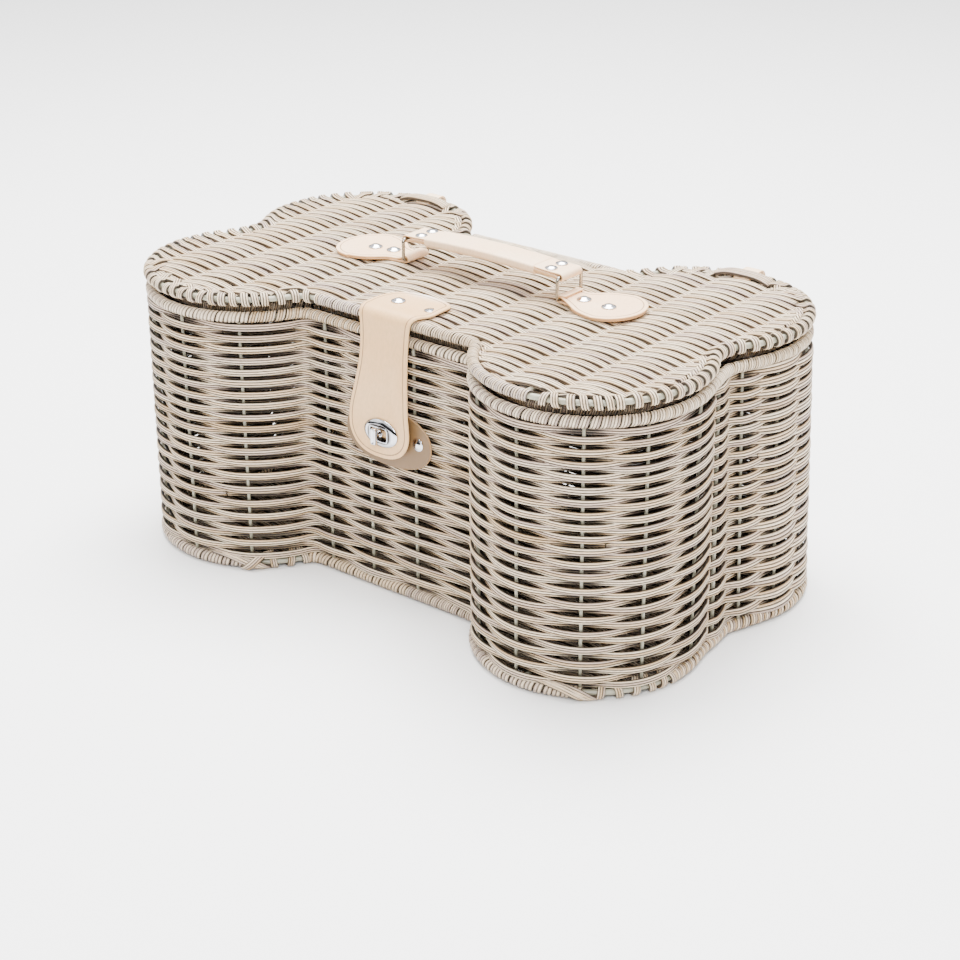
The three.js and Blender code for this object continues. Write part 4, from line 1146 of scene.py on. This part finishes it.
def grip_pad():
    """The middle of the grip is padded: flat on top, rounded below, with a blunt end at both sides."""
    zb = 283.1
    crown = lambda x: 3.5 * (1 - (x / 85.0) ** 2)
    X = ends_dense(-63.0, 58.0, 0.25, 2.5, 8)
    n = 64
    t = np.arange(n) * 2 * np.pi / n
    c, q = np.cos(t), np.sin(t)
    V, E = [], []
    for x in X:
        k = min(x + 63.0, 58.0 - x)
        s = math.sqrt(max(1 - (1 - min(k / 1.6, 1.0)) ** 2, 0.0))
        yy = (13.2 + 1.6 * s) * np.sign(c) * np.abs(c) ** (2 / np.where(q > 0, 7.0, 3.2))
        up, dn = 2.6 + 1.9 * s, 2.2 + 3.4 * s
        zz = np.where(q > 0, up, dn) * np.sign(q) * np.abs(q) ** (2 / np.where(q > 0, 5.0, 2.6))
        if k <= 0:
            yy, zz = yy * 0.97, zz * 0.9
        V.append(np.column_stack([np.full(n, 13 + x), 13 + yy, zb + crown(x) - 0.8 + zz]))
        E.append(np.where((q < -0.75) | (k < 0.2), 0.45, 9.0))
    a = np.array([V[0].mean(0), V[-1].mean(0)])
    m = len(X)
    i, j = np.meshgrid(np.arange(m - 1), np.arange(n), indexing="ij")
    i, j = i.ravel(), j.ravel()
    Q = np.stack([i * n + j, (i + 1) * n + j, (i + 1) * n + (j + 1) % n, i * n + (j + 1) % n], 1)
    k = np.arange(n)
    T = np.concatenate([np.stack([np.full(n, m * n), k, (k + 1) % n], 1), np.stack([np.full(n, m * n + 1), (m - 1) * n + (k + 1) % n, (m - 1) * n + k], 1)])
    E = np.concatenate(E + [np.array([0.4, 0.4])])
    o = build("grip_pad", np.concatenate(V + [a]), Q, T, HIDE_PLAIN, {"edge": E, "pale_band": 0 * E}, weld=2e-5)
    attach(o, "handle"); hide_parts("handle_strap")


grip()
grip_pad()
for i, (s, y) in enumerate([(-1, -7.3), (-1, 7.3), (1, -7.3), (1, 7.3)]):
    rivet(f"grip_rivet_{i + 1}", "handle", f"handle_rivet_{i + 1}", (13 + s * 71.5, 13 + y, 287.3), (0, 0, 1), 0.97)


# hinge straps
def hinge(k, side):
    x0 = side * 181.5
    pts = np.array([(147.5, 259.4), (153, 260.2), (159, 261.4), (167.1, 262.5), (171.5, 262.0), (174.3, 259.3), (175.0, 254.9), (174.9, 247), (174.7, 239.3), (174.2, 231), (173.6, 222), (173.6, 210), (173.6, 200)])
    pp = catmull(pts, 5)
    ar = np.concatenate([[0], np.cumsum(np.linalg.norm(np.diff(pp, axis=0), axis=1))])
    tn = np.gradient(pp, axis=0)
    tn /= np.linalg.norm(tn, axis=1)[:, None]
    nn = np.column_stack([-tn[:, 1], tn[:, 0]])
    def place(l, c, h):
        y, z = np.interp(l, ar, pp[:, 0]), np.interp(l, ar, pp[:, 1])
        ny, nz = np.interp(l, ar, nn[:, 0]), np.interp(l, ar, nn[:, 1])
        return np.column_stack([c, y + ny * h, z + nz * h])
    L = ends_dense(0, ar[-1], 0.4, 1.5, 5)
    kk = np.minimum(L, ar[-1] - L)
    w = np.interp(kk, [0, 0.8, 2.6, 6], [6.4, 7.4, 8.5, 8.6])
    o = leather(f"hinge_strap_{k}_leather", HIDE_PLAIN, L, x0 - w, x0 + w, place, 2.0, lines=False, mid=4)
    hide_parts(f"hinge_strap_{k}")
    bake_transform(o)
    rivet(f"hinge_lid_rivet_{k}_head", "lid", f"hinge_lid_rivet_{k}", (x0, 155, 260.9), (0, 0, 1), 0.8, 0.6)
    # two lid strands lie over the end of the leather
    cv = Batch()
    for y, z in ((151.0, 263.1), (156.6, 263.6)):
        t = np.linspace(-1, 1, 17)
        P = np.column_stack([x0 + 27 * t, y + 0.5 * t, z - 4.6 * np.abs(t) ** 3.2])
        cv.sweep(P, (0, 0, 1), 7.2, 3.2, CORD, rng.random(), front=1.0, back=0.4, edge=(0.5, 0.45))
    o = cv.make(f"hinge_cover_rows_{k}", STRAND_LID)
    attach(o, "lid"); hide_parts("woven_lid")
    rivet(f"hinge_body_rivet_{k}_head", "basket", f"hinge_body_rivet_{k}", (x0, 174.8, 211), (0, 1, 0), 0.85)


hinge("left", -1)
hinge("right", 1)

# turn lock: domed oval face with a raised frame round the slot, and the bar of the knob
def face_plate():
    cx, cz, y0 = 3.0, 158.0, -121.55
    n = 72
    rings = []                       # half width, half height, how far proud, corner power
    for a, b, h, p in [(18.4, 12.4, 0.0, 2.0), (18.7, 12.7, 0.35, 2.0), (18.7, 12.7, 0.75, 2.0), (18.3, 12.3, 1.15, 2.0), (17.4, 11.6, 1.75, 2.05), (16.0, 10.7, 2.35, 2.1),
                       (14.4, 9.6, 2.8, 2.3), (12.6, 8.5, 3.05, 2.7), (11.2, 7.7, 3.15, 3.4), (10.6, 7.2, 3.12, 4.5), (10.3, 6.95, 3.3, 6.0), (10.1, 6.75, 3.9, 8.0), (9.9, 6.55, 4.05, 8.0),
                       (9.2, 5.7, 4.05, 9.0), (9.0, 5.45, 3.85, 9.0), (8.9, 5.3, 2.2, 9.0), (8.75, 5.15, 2.0, 9.0), (8.35, 3.75, 1.9, 9.0), (8.25, 3.65, 1.6, 9.0), (8.25, 3.65, -2.0, 9.0)]:
        t = np.arange(n) * 2 * np.pi / n
        c, q = np.cos(t), np.sin(t)
        x = a * np.sign(c) * np.abs(c) ** (2 / p)
        z = b * np.sign(q) * np.abs(q) ** (2 / p)
        rings.append(np.column_stack([cx + x, np.full(n, y0 - h), cz + z]))
    v = np.concatenate(rings)
    q = []
    for j in range(len(rings) - 1):
        for i in range(n):
            q.append((j * n + i, j * n + (i + 1) % n, (j + 1) * n + (i + 1) % n, (j + 1) * n + i))
    # painted shade and dark reflection: darker at the plate's foot, in the groove inside the frame and on the slot's
    # inner wall
    g = np.repeat([0.7, 0.4, 0.1, 0, 0, 0, 0, 0.55, 1.0, 1.0, 1.0, 0.55, 0, 0.1, 0.8, 1.0, 1.0, 1.0, 0.9, 0.9], n)
    o = build("lock_face", v, q, [], CHROME_LOCK, {"groove": g}, weld=1e-5)
    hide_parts("lock_face_plate")
    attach(o, "strap")


def knob_bar():
    """Bar across the slot: rounded block with a shallow hollow in its face, on a round shank."""
    cx, cz = 3.0, 158.0
    n = 48
    t = np.arange(n) * 2 * np.pi / n
    c, q = np.cos(t), np.sin(t)
    rings = []
    for a, b, y, p in [(1.7, 1.7, -116.6, 2), (1.7, 1.7, -127.6, 2), (1.9, 2.4, -128.1, 2.4), (2.5, 6.8, -128.5, 5), (2.8, 7.3, -128.9, 6), (2.9, 7.45, -129.6, 6), (2.85, 7.4, -131.6, 6),
                       (2.6, 7.15, -132.3, 6), (2.2, 6.7, -132.55, 6), (1.7, 6.2, -132.5, 6), (1.3, 5.8, -132.1, 5), (0.8, 5.0, -131.95, 5), (0.05, 4.0, -131.9, 4)]:
        x = a * np.sign(c) * np.abs(c) ** (2 / p)
        z = b * np.sign(q) * np.abs(q) ** (2 / p)
        rings.append(np.column_stack([cx + x, np.full(n, y), cz + z]))
    v = np.concatenate(rings)
    f = []
    for j in range(len(rings) - 1):
        for i in range(n):
            f.append((j * n + i, j * n + (i + 1) % n, (j + 1) * n + (i + 1) % n, (j + 1) * n + i))
    o = build("lock_bar", v, f, [], CHROME, weld=1e-5)
    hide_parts("lock_knob")
    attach(o, "knob")


face_plate()
knob_bar()

# carried-over CAD nodes
for n in ("lock_base", "lock_back_plate"):
    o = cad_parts[n]
    for s in o.material_slots:
        s.material = CHROME

# ------------------------------------------------------------------ stage
floor_me = bpy.data.meshes.new("floor")
floor_me.from_pydata([(-6, -6, -0.0005), (6, -6, -0.0005), (6, 6, -0.0005), (-6, 6, -0.0005)], [], [(0, 1, 2, 3)])
floor = bpy.data.objects.new("floor", floor_me)
bpy.context.scene.collection.objects.link(floor)
fm = Nodes("floor_paper")
fc = fm.noise(fm.coord(), 3.0, 2.0)
floor_me.materials.append(fm.finish(fm.mix(fc, lin(252, 252, 252), lin(255, 255, 255)), 0.9))

world = bpy.data.worlds.new("studio")
bpy.context.scene.world = world
world.use_nodes = True
wt = world.node_tree
bg = wt.nodes["Background"]
# soft sky, darker towards the horizon as in a studio
tc = wt.nodes.new("ShaderNodeTexCoord")
sep = wt.nodes.new("ShaderNodeSeparateXYZ")
wt.links.new(tc.outputs["Generated"], sep.inputs[0])
mr = wt.nodes.new("ShaderNodeMapRange")
mr.interpolation_type = "SMOOTHSTEP"
mr.inputs[1].default_value, mr.inputs[2].default_value = 0.10, 0.55
mr.inputs[3].default_value, mr.inputs[4].default_value = 0.25, 1.0
wt.links.new(sep.outputs[2], mr.inputs[0])



def wmap(v, a, b, lo, hi):
    n = wt.nodes.new("ShaderNodeMapRange")
    n.interpolation_type = "SMOOTHSTEP"
    for i, x in enumerate((a, b, lo, hi)):
        n.inputs[i + 1].default_value = x
    wt.links.new(v, n.inputs[0])
    return n.outputs[0]


def wmul(a, b):
    n = wt.nodes.new("ShaderNodeMath")
    n.operation = "MULTIPLY"
    wt.links.new(a, n.inputs[0])
    wt.links.new(b, n.inputs[1])
    return n.outputs[0]


# the studio is dark behind the camera
band = wmul(wmap(sep.outputs[1], -0.35, -0.10, 1.0, 0.0), wmap(sep.outputs[2], 0.44, 0.60, 1.0, 0.0))
one = wt.nodes.new("ShaderNodeMath")
one.operation = "MULTIPLY_ADD"
wt.links.new(band, one.inputs[0])
one.inputs[1].default_value, one.inputs[2].default_value = -0.94, 1.0
level = wmul(mr.outputs[0], one.outputs[0])
hsv = wt.nodes.new("ShaderNodeCombineXYZ")
for k in range(3):
    wt.links.new(level, hsv.inputs[k])
wt.links.new(hsv.outputs[0], bg.inputs[0])
bg.inputs[1].default_value = 1.7


def area(name, loc, target, size, power):
    d = bpy.data.lights.new(name, "AREA")
    d.shape = "RECTANGLE"
    d.size, d.size_y = size
    d.energy = power
    o = bpy.data.objects.new(name, d)
    o.location = loc
    o.rotation_mode = "QUATERNION"
    o.rotation_quaternion = (Vector(target) - Vector(loc)).to_track_quat("-Z", "Y")
    bpy.context.scene.collection.objects.link(o)
    return o


area("key", (1.5, -1.9, 2.1), (0, 0, 0.12), (1.3, 1.3), 97)
area("fill", (-2.0, -1.4, 1.3), (0, 0, 0.12), (1.6, 1.2), 13)
area("top", (-0.3, 0.5, 2.5), (0, 0, 0.2), (1.8, 1.8), 298)

# ------------------------------------------------------------------ camera
yaw, pitch, roll = math.radians(39.328), math.radians(24.49), math.radians(-0.362)
back = Vector((math.sin(yaw) * math.cos(pitch), -math.cos(yaw) * math.cos(pitch), math.sin(pitch)))
right = Vector((math.cos(yaw), math.sin(yaw), 0))
up = back.cross(right)
r2 = right * math.cos(roll) + up * math.sin(roll)
u2 = up * math.cos(roll) - right * math.sin(roll)
cam_data = bpy.data.cameras.new("camera")
cam_data.sensor_width = 36
cam_data.lens = 2052.984 * 36 / 960
cam = bpy.data.objects.new("camera", cam_data)
bpy.context.scene.collection.objects.link(cam)
target = Vector((0.010658, SH / 1000, 0.073392))
pos = target + back * 1.844235
m = Matrix((r2, u2, back)).transposed().to_4x4()
m.translation = pos
cam.matrix_world = m
cam_data.clip_start, cam_data.clip_end = 0.05, 50
bpy.context.scene.camera = cam
